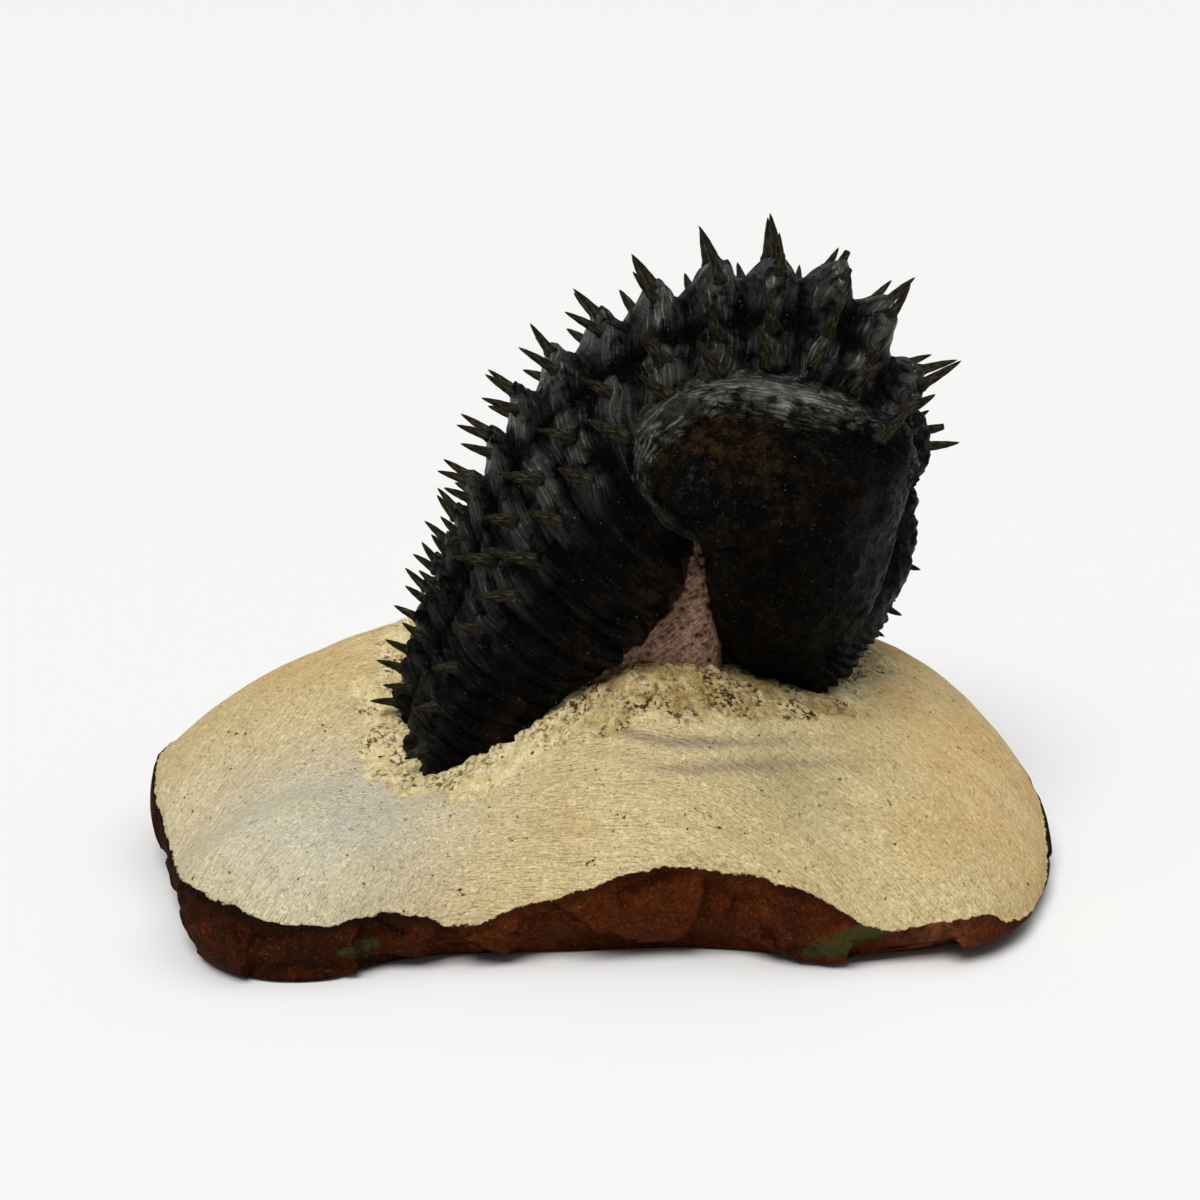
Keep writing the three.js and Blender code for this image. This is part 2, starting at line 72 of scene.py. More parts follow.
# One cross-section for every second ring boundary: crest X and Z, pleural tip X and Z, half width, sweep.
SECTIONS = [
    [38.9, 54.2, 19.5, 47.6, 17.0, 0.0],
    [31.3, 68.1, 16.3, 47.4, 17.0, 0.0],
    [17.7, 71.2, 12.6, 46.2, 17.5, 0.5],
    [3.7, 66.9, 9.2, 43.4, 19.5, 2.0],
    [-7.4, 58.7, 6.6, 37.4, 22.0, 3.3],
    [-14.0, 48.8, 1.8, 31.2, 22.0, 3.3],
    [-18.1, 37.9, -4.6, 26.4, 20.5, 2.5],
    [-21.8, 28.6, -10.2, 21.4, 19.5, 1.5],
    [-24.5, 18.6, -14.5, 15.5, 18.5, 0.5],
    [-25.4, 8.5, -18.0, 8.0, 17.0, 0.0],
]
TAIL_END = 2 * (len(SECTIONS) - 1)


def spline(rows, k, closed=False):
    """A uniform Catmull-Rom curve through rows of numbers, at k counted in rows: on each stretch a cubic that
    leaves and arrives with half the difference of the neighbouring rows. It gives one array a column."""
    rows, k = np.asarray(rows, float), np.asarray(k, float)
    last = len(rows) - 1
    k = k % len(rows) if closed else k
    first = np.clip(np.floor(k), 0, last if closed else last - 1).astype(int)
    near = first[..., None] + np.arange(-1, 3)
    near = near % len(rows) if closed else np.clip(near, 0, last)
    before, start, end, after = np.moveaxis(rows[near], -2, 0)
    leaving, arriving = (end - before) / 2, (after - start) / 2
    cubic = 2 * start - 2 * end + leaving + arriving
    square = 3 * end - 3 * start - 2 * leaving - arriving
    t = (k - first)[..., None]
    return np.moveaxis(((cubic * t + square) * t + leaving) * t + start, -1, 0)


def rise(low, high, value):
    """0 below low, 1 above high, and the S of 3t² - 2t³ between."""
    t = np.clip((value - low) / (high - low), 0, 1)
    return t * t * (3 - 2 * t)


def fall(low, high, value):
    """1 below low and 0 above high: what is left of the rise."""
    return 1 - rise(low, high, value)


def bump(distance, half_width):
    """A round bump of height 1: e to the power of minus (distance / half width) squared."""
    return np.exp(-((distance / half_width) ** 2))


def unit(vectors):
    """Each vector divided by its length."""
    return vectors / np.linalg.norm(vectors, axis=-1, keepdims=True)


def lattice(cells, seed):
    """A repeatable number from 0 to 1 for each whole-numbered cell: its three numbers times three large odd
    ones, added, then folded on themselves and multiplied again."""
    x, y, z = (cells[..., i].astype(np.uint32) for i in range(3))
    mixed = x * np.uint32(374761393) + y * np.uint32(668265263) + z * np.uint32(2246822519)
    mixed = mixed + np.uint32(seed * 7919)
    mixed = (mixed ^ (mixed >> np.uint32(13))) * np.uint32(1274126177)
    return (mixed ^ (mixed >> np.uint32(16))) / 2.0**32


def noise(points, size, seed=0, layers=1):
    """Smooth lumps from -1 to 1, about size across: lattice numbers blended between cell corners by the S of
    6t⁵ - 15t⁴ + 10t³. Each further layer is half as big and half as strong."""
    total = 0.0
    for layer in range(layers):
        scaled = points * (2**layer / size)
        cell = np.floor(scaled).astype(np.int64)
        t = scaled - cell
        t = t**3 * (t * (6 * t - 15) + 10)
        value = 0.0
        for corner in product((0, 1), repeat=3):
            share = np.prod(np.where(corner, t, 1 - t), axis=-1)
            value = value + share * lattice(cell + np.array(corner), seed + 17 * layer)
        total = total + 0.5**layer * (2 * value - 1)
    return total


def pebbles(points, size, seed=0):
    """Distance to the nearest of points strewn one to a cube of the given size, in cube sides, a number from
    0 to 1 that belongs to it, and the way from it in millimetres."""
    scaled = points / size
    home = np.floor(scaled).astype(np.int64)
    nearest = np.full(points.shape[:-1], np.inf)
    number, way = 0 * points[..., 0], 0 * points
    for step in product((-1, 0, 1), repeat=3):
        cell = home + np.array(step)
        scatter = np.stack([lattice(cell, seed + 101 * axis) for axis in range(3)], -1)
        gap = scaled - cell - scatter
        distance = np.linalg.norm(gap, axis=-1)
        closer = distance < nearest
        number = np.where(closer, lattice(cell, seed + 999), number)
        way = np.where(closer[..., None], gap * size, way)
        nearest = np.where(closer, distance, nearest)
    return nearest, number, way


def grid_normals(points):
    """Outward unit normals of a grid whose columns close on themselves: its slope along the rows cross its
    slope down the columns."""
    along = np.roll(points, -1, axis=1) - np.roll(points, 1, axis=1)
    return unit(np.cross(along, np.gradient(points, axis=0)))


def grid_part(points, along, across, marks, start=None, end=None):
    """One closed part from a grid of points whose columns close on themselves: four-cornered faces, and at
    each end a fan to a middle point, the mean of the end row unless it is given. Its flow is two numbers in
    millimetres, along the grain and across it. A middle point takes its numbers from its row's first."""
    rows, columns = points.shape[:2]
    start = points[0].mean(0) if start is None else start
    end = points[-1].mean(0) if end is None else end
    vertices = np.concatenate([points.reshape(-1, 3), [start, end]])
    number = np.arange(rows * columns).reshape(rows, columns)
    beside = np.roll(number, -1, axis=1)
    squares = np.stack([number[:-1], beside[:-1], beside[1:], number[1:]], -1).reshape(-1, 4)
    middle = np.full(columns, rows * columns)
    fans = [np.stack([beside[0], number[0], middle], -1), np.stack([number[-1], beside[-1], middle + 1], -1)]

    def at_vertices(values):
        """The grid's values and those of the two middle points."""
        values = np.broadcast_to(values, (rows, columns))
        return np.append(values, [values[0, 0], values[-1, 0]])

    flow = np.stack([at_vertices(along), at_vertices(across)], -1)
    return vertices, [squares, *fans], flow, {key: at_vertices(value) for key, value in marks.items()}


def placed(points):
    """From the animal's own frame to the stone's: turned about Z and shifted along Y."""
    x, y, z = np.moveaxis(points, -1, 0)
    cosine, sine = math.cos(ANIMAL_TURN), math.sin(ANIMAL_TURN)
    return np.stack([x * cosine - y * sine, x * sine + y * cosine + ANIMAL_Y, z], -1)


def turned(vectors):
    """Directions from the animal's own frame to the stone's."""
    return placed(vectors) - placed(0 * vectors)


def solid_piece(name, cad_node, parts, material):
    """One object from parts, each (vertices, list of face arrays, flow, marks), that stands for a CAD node.
    The flow is the piece's UV map. The marks are numbers at the vertices, by name, 0 for none and 1 for full,
    that the material reads; a part without one has 0 there."""
    faces, first = [], 0
    for part_vertices, part_faces, _, _ in parts:
        faces += [face + first for face in part_faces]
        first += len(part_vertices)
    corners = np.concatenate([face.ravel() for face in faces])
    sides = np.concatenate([np.full(len(face), face.shape[1]) for face in faces])
    mesh = bpy.data.meshes.new(name)
    mesh.vertices.add(first)
    mesh.vertices.foreach_set("co", np.concatenate([part[0] for part in parts]).ravel() * MM)
    mesh.loops.add(len(corners))
    mesh.loops.foreach_set("vertex_index", corners)
    mesh.polygons.add(len(sides))
    mesh.polygons.foreach_set("loop_start", np.cumsum(sides) - sides)
    mesh.update(calc_edges=True)
    flow = np.concatenate([part[2] for part in parts]) * MM
    mesh.uv_layers.new(name="flow").uv.foreach_set("vector", flow[corners].ravel())
    for key in sorted({key for part in parts for key in part[3]}):
        values = [np.broadcast_to(part[3].get(key, 0.0), len(part[0])) for part in parts]
        mesh.attributes.new(key, "FLOAT", "POINT").data.foreach_set("value", np.concatenate(values))
    mesh.shade_smooth()
    mesh.materials.append(material)
    piece = bpy.data.objects.new(name, mesh)
    bpy.context.scene.collection.objects.link(piece)
    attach(piece, "root")
    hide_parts(cad_node)


def section(place):
    """The back's cross-section at a place, counted in ring boundaries from the head."""
    return spline(SECTIONS, place / 2)


def back_base(place, angle):
    """The plain half ellipse of one cross-section of the back: down the chord from the crest to the pleural
    tips by 1 - cos(angle), out to the side by sin(angle), and bowed towards the tail half way down."""
    crest_x, crest_z, tip_x, tip_z, half_width, sweep = section(place)
    depth = np.hypot(tip_x - crest_x, tip_z - crest_z)
    down_x, down_z = (tip_x - crest_x) / depth, (tip_z - crest_z) / depth
    share = 1 - np.cos(angle)
    tailward = 4 * sweep * share * (1 - share)
    x = crest_x + down_x * depth * share + down_z * tailward
    z = crest_z + down_z * depth * share - down_x * tailward
    return np.stack([x, half_width * np.sin(angle), z], -1)


def back_directions(place, angle, step=0.02):
    """Directions at a place: outwards within the section, down the section, and square to both, tailwards."""
    crest_x, crest_z, tip_x, tip_z, _, sweep = section(place)
    chord = np.stack([tip_x - crest_x, 0 * crest_x, tip_z - crest_z], -1)
    square = unit(np.stack([chord[..., 2], 0 * crest_x, -chord[..., 0]], -1))
    slant = 4 * sweep * (2 * np.cos(angle) - 1)
    down = unit(chord + square * slant[..., None])
    tailward = np.stack([down[..., 2], 0 * down[..., 0], -down[..., 0]], -1)
    across = back_base(place, angle + step) - back_base(place, angle - step)
    return unit(np.cross(across, tailward)), down, tailward


def axis_half(place):
    """Half width of the axial lobe, which narrows along the tail."""
    return AXIS_HALF * (1 - 0.45 * rise(SEGMENTS, TAIL_END, place))


def furrow(place, across):
    """Depth of the groove on each side of the axial lobe."""
    return FURROW_DEPTH * bump(np.abs(across) - axis_half(place) - 0.6, 1.9)


def on_pleura(place, across):
    """0 on the axial lobe, 1 on the ribs beside it."""
    return rise(axis_half(place) - 1.6, axis_half(place) + 1.9, np.abs(across))


def axial_angle(place):
    """The lateral angle of the outer two of a ring's three axial spines."""
    return math.asin(AXIAL_SPREAD * AXIS_HALF / section(place)[4])


def curved_spines(roots, directions, lengths, radii, bend, snapped):
    """Spines, one part each. A spine is a thorn along root + direction t + bend t², from under the shell to
    its tip at t = 1. Its radius falls as (1 - t to the power 1.8) to the power 0.72, flares at the root,
    closes in under the shell, and is a little ribbed along; a snapped one stops short, blunt and uneven."""
    t = np.linspace(0, 1, SPINE_RINGS)[None, :, None] ** 0.85
    turn = np.linspace(0, 2 * np.pi, SPINE_SIDES, endpoint=False)
    reach = np.where(snapped, SNAPPED_REACH, WHOLE_REACH)[:, None, None]
    along = -SPINE_ROOT + (SPINE_ROOT + reach) * t
    taper = np.clip(1 - np.clip(along, 0, 1) ** 1.8, 0, 1) ** 0.72
    flare = 0.50 * bump(along + 0.02, 0.13)
    buried = np.clip(1 + 4 * along, 0.15, 1)
    ribs = 1 + 0.035 * np.cos(5 * turn + 2 * along) + 0.03 * np.cos(21 * along + 2 * turn)
    broken = np.where(snapped[:, None, None] & (t == 1), 0.6 + 0.2 * np.cos(3 * turn), 1.0)
    width = radii[:, None, None] * (taper + flare) * buried * ribs * broken
    helper = np.where(np.abs(directions[:, 1:2]) > 0.9, [[1.0, 0, 0]], [[0, 1.0, 0]])
    side = unit(np.cross(directions, helper))[:, None, None]
    other = np.cross(directions, side[:, 0, 0])[:, None, None]
    spread = np.cos(turn)[:, None] * side + np.sin(turn)[:, None] * other
    distance = along * lengths[:, None, None]
    bent = (np.maximum(along, 0) ** 2)[..., None] * bend[:, None, None]
    middle = roots[:, None, None] + distance[..., None] * directions[:, None, None]
    points = middle + bent + width[..., None] * spread
    parts = []
    for index, rings in enumerate(points):
        tip = rings[-1].mean(0) + directions[index] * (-0.12 if snapped[index] else 0.06)
        marks = {"crest": 0.3, "spine": rise(0.0, 0.24, along[index])}
        shift = 3.7 * index
        parts.append(grid_part(rings, 2 * distance[index] + shift, 0.7 * turn + shift, marks, end=tip))
    return parts


class Value:
    """A number or colour that a node tree works out at each point of the surface. Sums, differences and
    products with other values and with plain numbers are Math nodes."""

    def __init__(self, tree, socket):
        self.tree, self.socket = tree, socket

    def math(self, operation, first, second):
        """One Math node."""
        return shader_node(self.tree, "Math", {0: first, 1: second}, operation=operation)

    def __add__(self, other):
        return self.math("ADD", self, other)

    def __sub__(self, other):
        return self.math("SUBTRACT", self, other)

    def __rsub__(self, other):
        return self.math("SUBTRACT", other, self)

    def __mul__(self, other):
        return self.math("MULTIPLY", self, other)

    def __rtruediv__(self, other):
        return self.math("DIVIDE", other, self)

    __radd__, __rmul__ = __add__, __mul__

    def over(self, low, high):
        """0 at low, 1 at high, and an S between."""
        links = {0: self, 1: low, 2: high, 3: 0.0, 4: 1.0}
        return shader_node(self.tree, "MapRange", links, interpolation_type="SMOOTHSTEP")


def shader_node(tree, kind, links=None, output=0, **settings):
    """One output of a new shader node. settings are its properties; links are its inputs, each a Value to
    join or a plain one to set."""
    made = tree.nodes.new("ShaderNode" + kind)
    for key, value in settings.items():
        setattr(made, key, value)
    for key, value in (links or {}).items():
        if isinstance(value, Value):
            tree.links.new(value.socket, made.inputs[key])
        else:
            made.inputs[key].default_value = value
    return Value(tree, made.outputs[output])


def mask_group(name, vector, numbers):
    """An empty node group with one vector and some numbers in, which have usual values, and a mask out."""
    tree = bpy.data.node_groups.new(name, "ShaderNodeTree")
    tree.interface.new_socket(vector, in_out="INPUT", socket_type="NodeSocketVector")
    for title, usual in numbers.items():
        socket = tree.interface.new_socket(title, in_out="INPUT", socket_type="NodeSocketFloat")
        socket.default_value = usual
    tree.interface.new_socket("Mask", in_out="OUTPUT", socket_type="NodeSocketFloat")
    given = tree.nodes.new("NodeGroupInput").outputs
    mask = tree.nodes.new("NodeGroupOutput").inputs["Mask"]
    return tree, [Value(tree, given[title]) for title in (vector, *numbers)], mask


def fibres_group():
    """Fibres: noise on the flow map, squeezed to a length along the grain and a width across it."""
    tree, (flow, length, width), mask = mask_group("fibres", "Flow", {"Length": 0.006, "Width": 0.0003})
    scale = shader_node(tree, "CombineXYZ", {"X": 1 / length, "Y": 1 / width})
    squeezed = shader_node(tree, "VectorMath", {0: flow, 1: scale}, operation="MULTIPLY")
    links = {"Vector": squeezed, "Scale": 1.0, "Detail": 3.0, "Roughness": 0.55}
    spread = {0: shader_node(tree, "TexNoise", links), 1: 0.3, 2: 0.7, 3: 0.0, 4: 1.0}
    tree.links.new(shader_node(tree, "MapRange", spread).socket, mask)
    return tree


def mottle_group():
    """Mottle: patches of a given size from noise in the piece's own space, with a chosen share and edge."""
    usual = {"Size": 0.003, "Share": 0.5, "Edge": 0.1}
    tree, (place, size, share, edge), mask = mask_group("mottle", "Place", usual)
    links = {"Vector": place, "Scale": 1 / size, "Detail": 5.0, "Roughness": 0.62}
    patches = shader_node(tree, "TexNoise", links)
    level = 0.7 - 0.4 * share
    tree.links.new(patches.over(level - edge, level + edge).socket, mask)
    return tree


FIBRES = fibres_group()
MOTTLE = mottle_group()


def new_material(name):
    """A material with an emptied tree, its shader, and the makers of its masks: fibres by length and width in
    millimetres, mottle by size, share and edge, and a mark by the name of the number at the vertices."""
    material = bpy.data.materials.new(name)
    material.use_nodes = True
    tree = material.node_tree
    tree.nodes.clear()
    shader = tree.nodes.new("ShaderNodeBsdfPrincipled")
    output = tree.nodes.new("ShaderNodeOutputMaterial")
    tree.links.new(shader.outputs[0], output.inputs[0])
    space = shader_node(tree, "TexCoord", output="Object")
    flow = shader_node(tree, "UVMap", uv_map="flow")

    def fibres(length, width):
        links = {"Flow": flow, "Length": length * MM, "Width": width * MM}
        return shader_node(tree, "Group", links, node_tree=FIBRES)

    def mottle(size, share, edge):
        links = {"Place": space, "Size": size * MM, "Share": share, "Edge": edge}
        return shader_node(tree, "Group", links, node_tree=MOTTLE)

    def mark(name):
        return shader_node(tree, "Attribute", output="Fac", attribute_name=name)

    return material, shader, fibres, mottle, mark


def between(share, first, second):
    """A number between two, by a share."""
    return shader_node(share.tree, "Mix", {0: share, 2: first, 3: second}, data_type="FLOAT")


def painted(colour, layers):
    """A colour with others laid over it in turn, each (share, colour)."""
    for share, over_it in layers:
        colour = shader_node(share.tree, "Mix", {0: share, 6: colour, 7: over_it}, output=2, data_type="RGBA")
    return colour


def finish_shader(shader, colour, gloss, roughness, reliefs, ior):
    """Joins a shader's colour, its roughness, which the gloss mask spreads over a range, and its bumps, laid
    on each other, each (mask, height in millimetres, strength)."""
    low, high = roughness
    under = {}
    for mask, height, strength in reliefs:
        links = {"Height": mask, "Distance": height * MM, "Strength": strength, **under}
        under = {"Normal": shader_node(mask.tree, "Bump", links)}
    for title, value in {"Base Color": colour, "Roughness": low + (high - low) * gloss, **under}.items():
        value.tree.links.new(value.socket, shader.inputs[title])
    shader.inputs["IOR"].default_value = ior


def shell_material():
    """Black mineral shell: near black, darker in the hollows as painted shade, and blue-grey on the crests,
    partly where preparation has rubbed them and partly as painted sheen; pale streaks along its fibres, or
    grains on the head, as painted highlights; olive-brown spines; rust mottling, a pale border band and a
    green-grey stain where the vertices are marked for them."""
    black, grey, pale = (0.0010, 0.0010, 0.0009, 1), (0.0860, 0.0925, 0.0830, 1), (0.410, 0.414, 0.342, 1)
    olive, horn = (0.0190, 0.0165, 0.0092, 1), (0.090, 0.077, 0.044, 1)
    rust, ochre, stain = (0.0085, 0.0030, 0.0012, 1), (0.044, 0.027, 0.010, 1), (0.004, 0.015, 0.0120, 1)
    material, shader, fibres, mottle, mark = new_material("fossil_shell")
    crest, grain = mark("crest"), mark("grain")
    speckled = mottle(0.4, 0.5, 0.1)
    long_streaks = between(grain, fibres(8.0, 0.50), mottle(1.0, 0.45, 0.10))
    fine_streaks = between(grain, fibres(3.0, 0.17), speckled)
    highlight_streaks = long_streaks.over(0.45, 0.90) * fine_streaks.over(0.45, 0.90)
    wear_and_sheen = crest * mottle(2.8, 0.56, 0.10)
    rusty = mark("brown") * mottle(4.0, 0.50, 0.08)
    striped = fibres(2.2, 0.20).over(0.30, 0.85) * mottle(1.3, 0.50, 0.10)
    layers = [
        # Blue-grey on the crests: partly rubbed wear, partly painted sheen on the tops.
        (wear_and_sheen * (0.45 + 0.55 * long_streaks), grey),
        # Pale fibre streaks on the crests: painted highlights.
        (highlight_streaks * (0.20 * crest + 0.80 * wear_and_sheen), pale),
        (rusty, rust),
        (rusty * mottle(1.5, 0.48, 0.08) * (0.35 + 0.65 * speckled), ochre),
        (mark("teal") * mottle(1.4, 0.6, 0.1), stain),
        (0.58 * mark("band") * striped, pale),
        (mark("spine"), painted(olive, [(fibres(2.5, 0.25).over(0.4, 0.9), horn)])),
        (0.3 * mottle(0.30, 0.06, 0.02), pale),
    ]
    reliefs = [(mottle(0.9, 0.5, 0.25), 0.26, 1.0), (long_streaks, 0.30, 1.0), (fine_streaks, 0.10, 1.0)]
    finish_shader(shader, painted(black, layers), mottle(0.9, 0.5, 0.2), (0.18, 0.45), reliefs, 1.10)
    return material


SHELL = shell_material()


def ring_height(share):
    """Height of a thorax plate from its tucked front edge (below 0) over its crest to its rear edge (above
    1), as a share of the ring's height: half a cosine wave up, and half a wave down to a low rim."""
    rising = 0.5 - 0.5 * np.cos(np.pi * np.clip(share / RING_CREST, 0, 1))
    past_crest = np.clip((share - RING_CREST) / (1 - RING_CREST), 0, 1)
    falling = 1 - 0.80 * (0.5 - 0.5 * np.cos(np.pi * past_crest))
    rolled = 0.15 * rise(1 + 0.2 * REAR_OVERLAP, 1 + REAR_OVERLAP, share)
    tucked = 0.5 * rise(0, FRONT_TUCK, -share)
    return np.where(share < RING_CREST, rising, falling) - rolled - tucked


def arc_angles(count):
    """Angles from tip to tip over the back, closer together at the two tips."""
    t = np.linspace(-1, 1, count)
    return np.radians(90 * np.sin(t * np.pi / 2) * 0.35 + 90 * t * 0.65)


def shell_part(place, angle, height, rib_split, roots, seed, brown, drop):
    """Rows of points over the back. Outwards from the plain surface: the ring's height, less the axial
    furrows and a slanting furrow in each rib, plus a round rise under each spine, lumps and fibres. The tips
    hang lower by drop, and each row closes along the chord between its two. The crest mark is high on the
    crests, partly for rubbed wear and partly as painted sheen, and falls as painted shade into the hollows,
    low on the sides and towards the tail."""
    base = back_base(place, angle)
    outward, down, _ = back_directions(place, angle)
    across = base[..., 1]
    round_back = angle * section(place)[4]
    ribs = on_pleura(place, across)
    ridge = RING_HEIGHT * (1 - ribs) + RIB_HEIGHT * ribs
    wander = 0.8 * noise(base, 6.0, seed + 7)
    strings = np.stack([round_back * 0.16, place * RING_LENGTH + wander, 0 * across], -1)
    lumps = 0.46 * noise(base, 4.4, seed, 2) + 0.22 * noise(base, 1.8, seed + 3, 2)
    lumps = lumps + 0.34 * noise(strings, 1.1, seed + 5, 2)
    lift = -ridge * (1 - height) - furrow(place, across) - 0.55 * ribs * rib_split
    swollen = sum(0.8 * bump(np.linalg.norm(base - root, axis=-1), 1.7) for root in roots)
    lift = lift + swollen + lumps * (0.55 + 0.45 * height)
    points = base + outward * lift[..., None] - down * drop[..., None]
    chord = np.stack([points[:, -1] * (1 - s) + points[:, 0] * s for s in (0.25, 0.5, 0.75)], 1)
    columns = np.append(np.arange(len(lift[0])), [-1, -1, -1])

    def with_chord(values):
        """The rows' values, with each row's last one kept along the chord."""
        return np.broadcast_to(values, lift.shape)[:, columns]

    wavy = place * RING_LENGTH + 0.8 * noise(points, 5, 13, 2)
    # Painted shade: far down the sides and towards the tail the crest mark is lowered.
    darker = (1 - 0.93 * rise(40, 67, np.degrees(np.abs(angle)))) * (1 - 0.82 * rise(8, 14, place))
    crest = np.clip(1.02 + 0.80 * lift / ridge, 0, 1) ** 1.6 * darker
    marks = {"crest": with_chord(crest), "brown": with_chord(brown)}
    loops = placed(np.concatenate([points, chord], 1))
    return grid_part(loops, with_chord(round_back * 1.35), with_chord(wavy), marks)


def spines_on_back(rows, seed):
    """The roots of spines on the back, in the animal's frame, and their parts, from rows of (place, angle,
    length, lean, splay, snapped). A spine leans from straight up towards the tail, in degrees, and splays to
    its own side."""
    place, angle, length, lean, splay, snapped = (np.array(column) for column in zip(*rows))
    order = np.arange(len(rows))
    up, _, tailward = back_directions(place, 0 * angle)
    turn = np.radians(lean + 5 * np.sin(3.7 * order + seed))[:, None]
    direction = up * np.cos(turn) + tailward * np.sin(turn)
    direction[:, 1] = np.sign(angle) * splay
    outward, _, _ = back_directions(place, angle)
    base = back_base(place, angle)
    root = base + outward * (0.1 - furrow(place, base[:, 1]))[:, None]
    length = length * (1 + 0.06 * np.sin(5.1 * order + seed))
    bend = tailward * (0.07 * length * np.sin(2.3 * order + seed))[:, None]
    radii = 0.38 + 0.045 * length + 0.16 * rise(0.45, 0.6, np.abs(angle))
    shape = turned(unit(direction)), length, radii, turned(bend), snapped.astype(bool)
    return root, curved_spines(placed(root), *shape)


def thorax_plate(number):
    """One plate: rows from its tucked front to its rear edge, and its spines."""
    crest_place = number - 1 + RING_CREST
    rows = []
    for side in (-1, 0, 1):
        length = AXIAL_SPINES[number - 1] * (1 - 0.1 * side)
        lean = AXIAL_LEANS[number - 1] - 6 * side
        snapped = side in SNAPPED_AXIAL.get(number, ())
        rows.append((crest_place, side * axial_angle(crest_place), length, lean, AXIAL_SPLAY, snapped))
    outer_row = OUTER_ROW_BY_HEAD if crest_place < 6 else OUTER_ROW
    for side, row in product((-1, 1), (0,) if number == 1 else (0, 1)):
        turn = side * math.radians(outer_row if row else INNER_ROW)
        varied = 1 + 0.12 * math.sin(2.3 * number + 4 * row)
        length = PLEURAL_SPINE * varied * (1 if side < 0 else FAR_SHORTER)
        rows.append((crest_place, turn, length, PLEURAL_LEANS[number - 1], PLEURAL_SPLAY, False))
    roots, spines = spines_on_back(rows, number)
    tucked = np.linspace(-FRONT_TUCK, 0, TUCK_ROWS, endpoint=False)
    share = np.append(tucked, np.linspace(0, 1 + REAR_OVERLAP, PLATE_ROWS))[:, None]
    angle = arc_angles(PLATE_COLUMNS)[None, :]
    sideways = np.degrees(np.abs(angle))
    place = number - 1 + share + 0 * angle
    height = ring_height(share) + 0 * angle
    rib_split = bump(share - 0.42 - 0.10 * rise(20, 80, sideways), 0.13)
    brown = 0.4 * rise(64, 86, sideways)
    drop = 1.3 * rise(74, 90, sideways) * np.clip(2 * share - 1, -1, 1) ** 2
    plate = shell_part(place, angle, height, rib_split, roots, 40 * number, brown, drop)
    name = f"thorax_segment_{number:02d}"
    solid_piece(name + "_shell", name, [plate, *spines], SHELL)


for number in range(1, SEGMENTS + 1):
    thorax_plate(number)

# ------------------------------------------------------------------------------------------
# Tail shield. The last rings grew together into one tapering shield, sunk into the rock at its tip. It
# carries the same spines, three to one ring and two to the next, with one more on each rib of the second.

TAIL_RINGS = 11
TAIL_SPINE, TAIL_ROW = 3.4, 48.0
TAIL_AXIAL_LEAN, TAIL_PLEURAL_LEAN = 22, 46
# Rings that carry spines, and those that carry them on the far side too.
TAIL_SPINE_RINGS, FAR_SPINE_RINGS = 8, 4
TAIL_COLUMNS, TAIL_TUCK_ROWS, TAIL_ROWS = 300, 4, 200


def tail_shield():
    """Rows from under the last thorax plate to the buried end; each fused ring is a low wave that fades
    towards the end, strength 0.6 at first and 0.24 at last."""
    tail = TAIL_END - SEGMENTS
    rows = []
    for ring in range(TAIL_SPINE_RINGS):
        spot = SEGMENTS + tail * (ring + RING_CREST) / TAIL_RINGS
        outer, rib = axial_angle(spot), math.radians(TAIL_ROW)
        for turn in (-rib, -outer / 2, outer / 2, rib) if ring % 2 else (-outer, 0, outer):
            on_rib = abs(turn) == rib
            lean, splay = (TAIL_PLEURAL_LEAN, PLEURAL_SPLAY) if on_rib else (TAIL_AXIAL_LEAN, AXIAL_SPLAY)
            if turn <= 0 or ring < FAR_SPINE_RINGS:
                rows.append((spot, turn, TAIL_SPINE, lean, splay, False))
    roots, spines = spines_on_back(rows, 3)
    tucked = np.linspace(SEGMENTS - FRONT_TUCK, SEGMENTS, TAIL_TUCK_ROWS, endpoint=False)
    place = np.append(tucked, np.linspace(SEGMENTS, TAIL_END, TAIL_ROWS))[:, None]
    angle = arc_angles(TAIL_COLUMNS)[None, :]
    share = np.clip((place - SEGMENTS) / tail, 0, 1)
    wave = np.modf(share * TAIL_RINGS)[0]
    strength = 0.6 * (1 - 0.6 * share)
    height = 1 - strength * (1 - np.sin(np.pi * wave) ** 1.1) - 0.35 * rise(0, FRONT_TUCK, SEGMENTS - place)
    rib_split = 0.4 * bump(wave - 0.5, 0.12) * strength
    brown = 0.4 * rise(60, 86, np.degrees(np.abs(angle)))
    shield = shell_part(place + 0 * angle, angle, height, rib_split, roots, 900, brown, 0 * place)
    solid_piece("pygidium_shell", "pygidium", [shield, *spines], SHELL)


tail_shield()

# ------------------------------------------------------------------------------------------
# Head shield. One broad cap, bent down in front, with two big cheeks, a raised pale border round the cheeks,
# a granular middle lobe, and an eye with rows of lenses on each side.

CHEEK_HALF, HEAD_NARROWING = 25.5, 0.18
BORDER_WIDTH = 3.6
# The head's middle from the side, X and Z, and the radius of the plain round that its cheeks fade to.
HEAD_MIDDLE, HEAD_ROUND = [20.0, 42.0], 19.0
# Points round the outline, and rows from side to side up to these degrees.
HEAD_COLUMNS, HEAD_ROWS, HEAD_TURN = 430, 190, 89.3

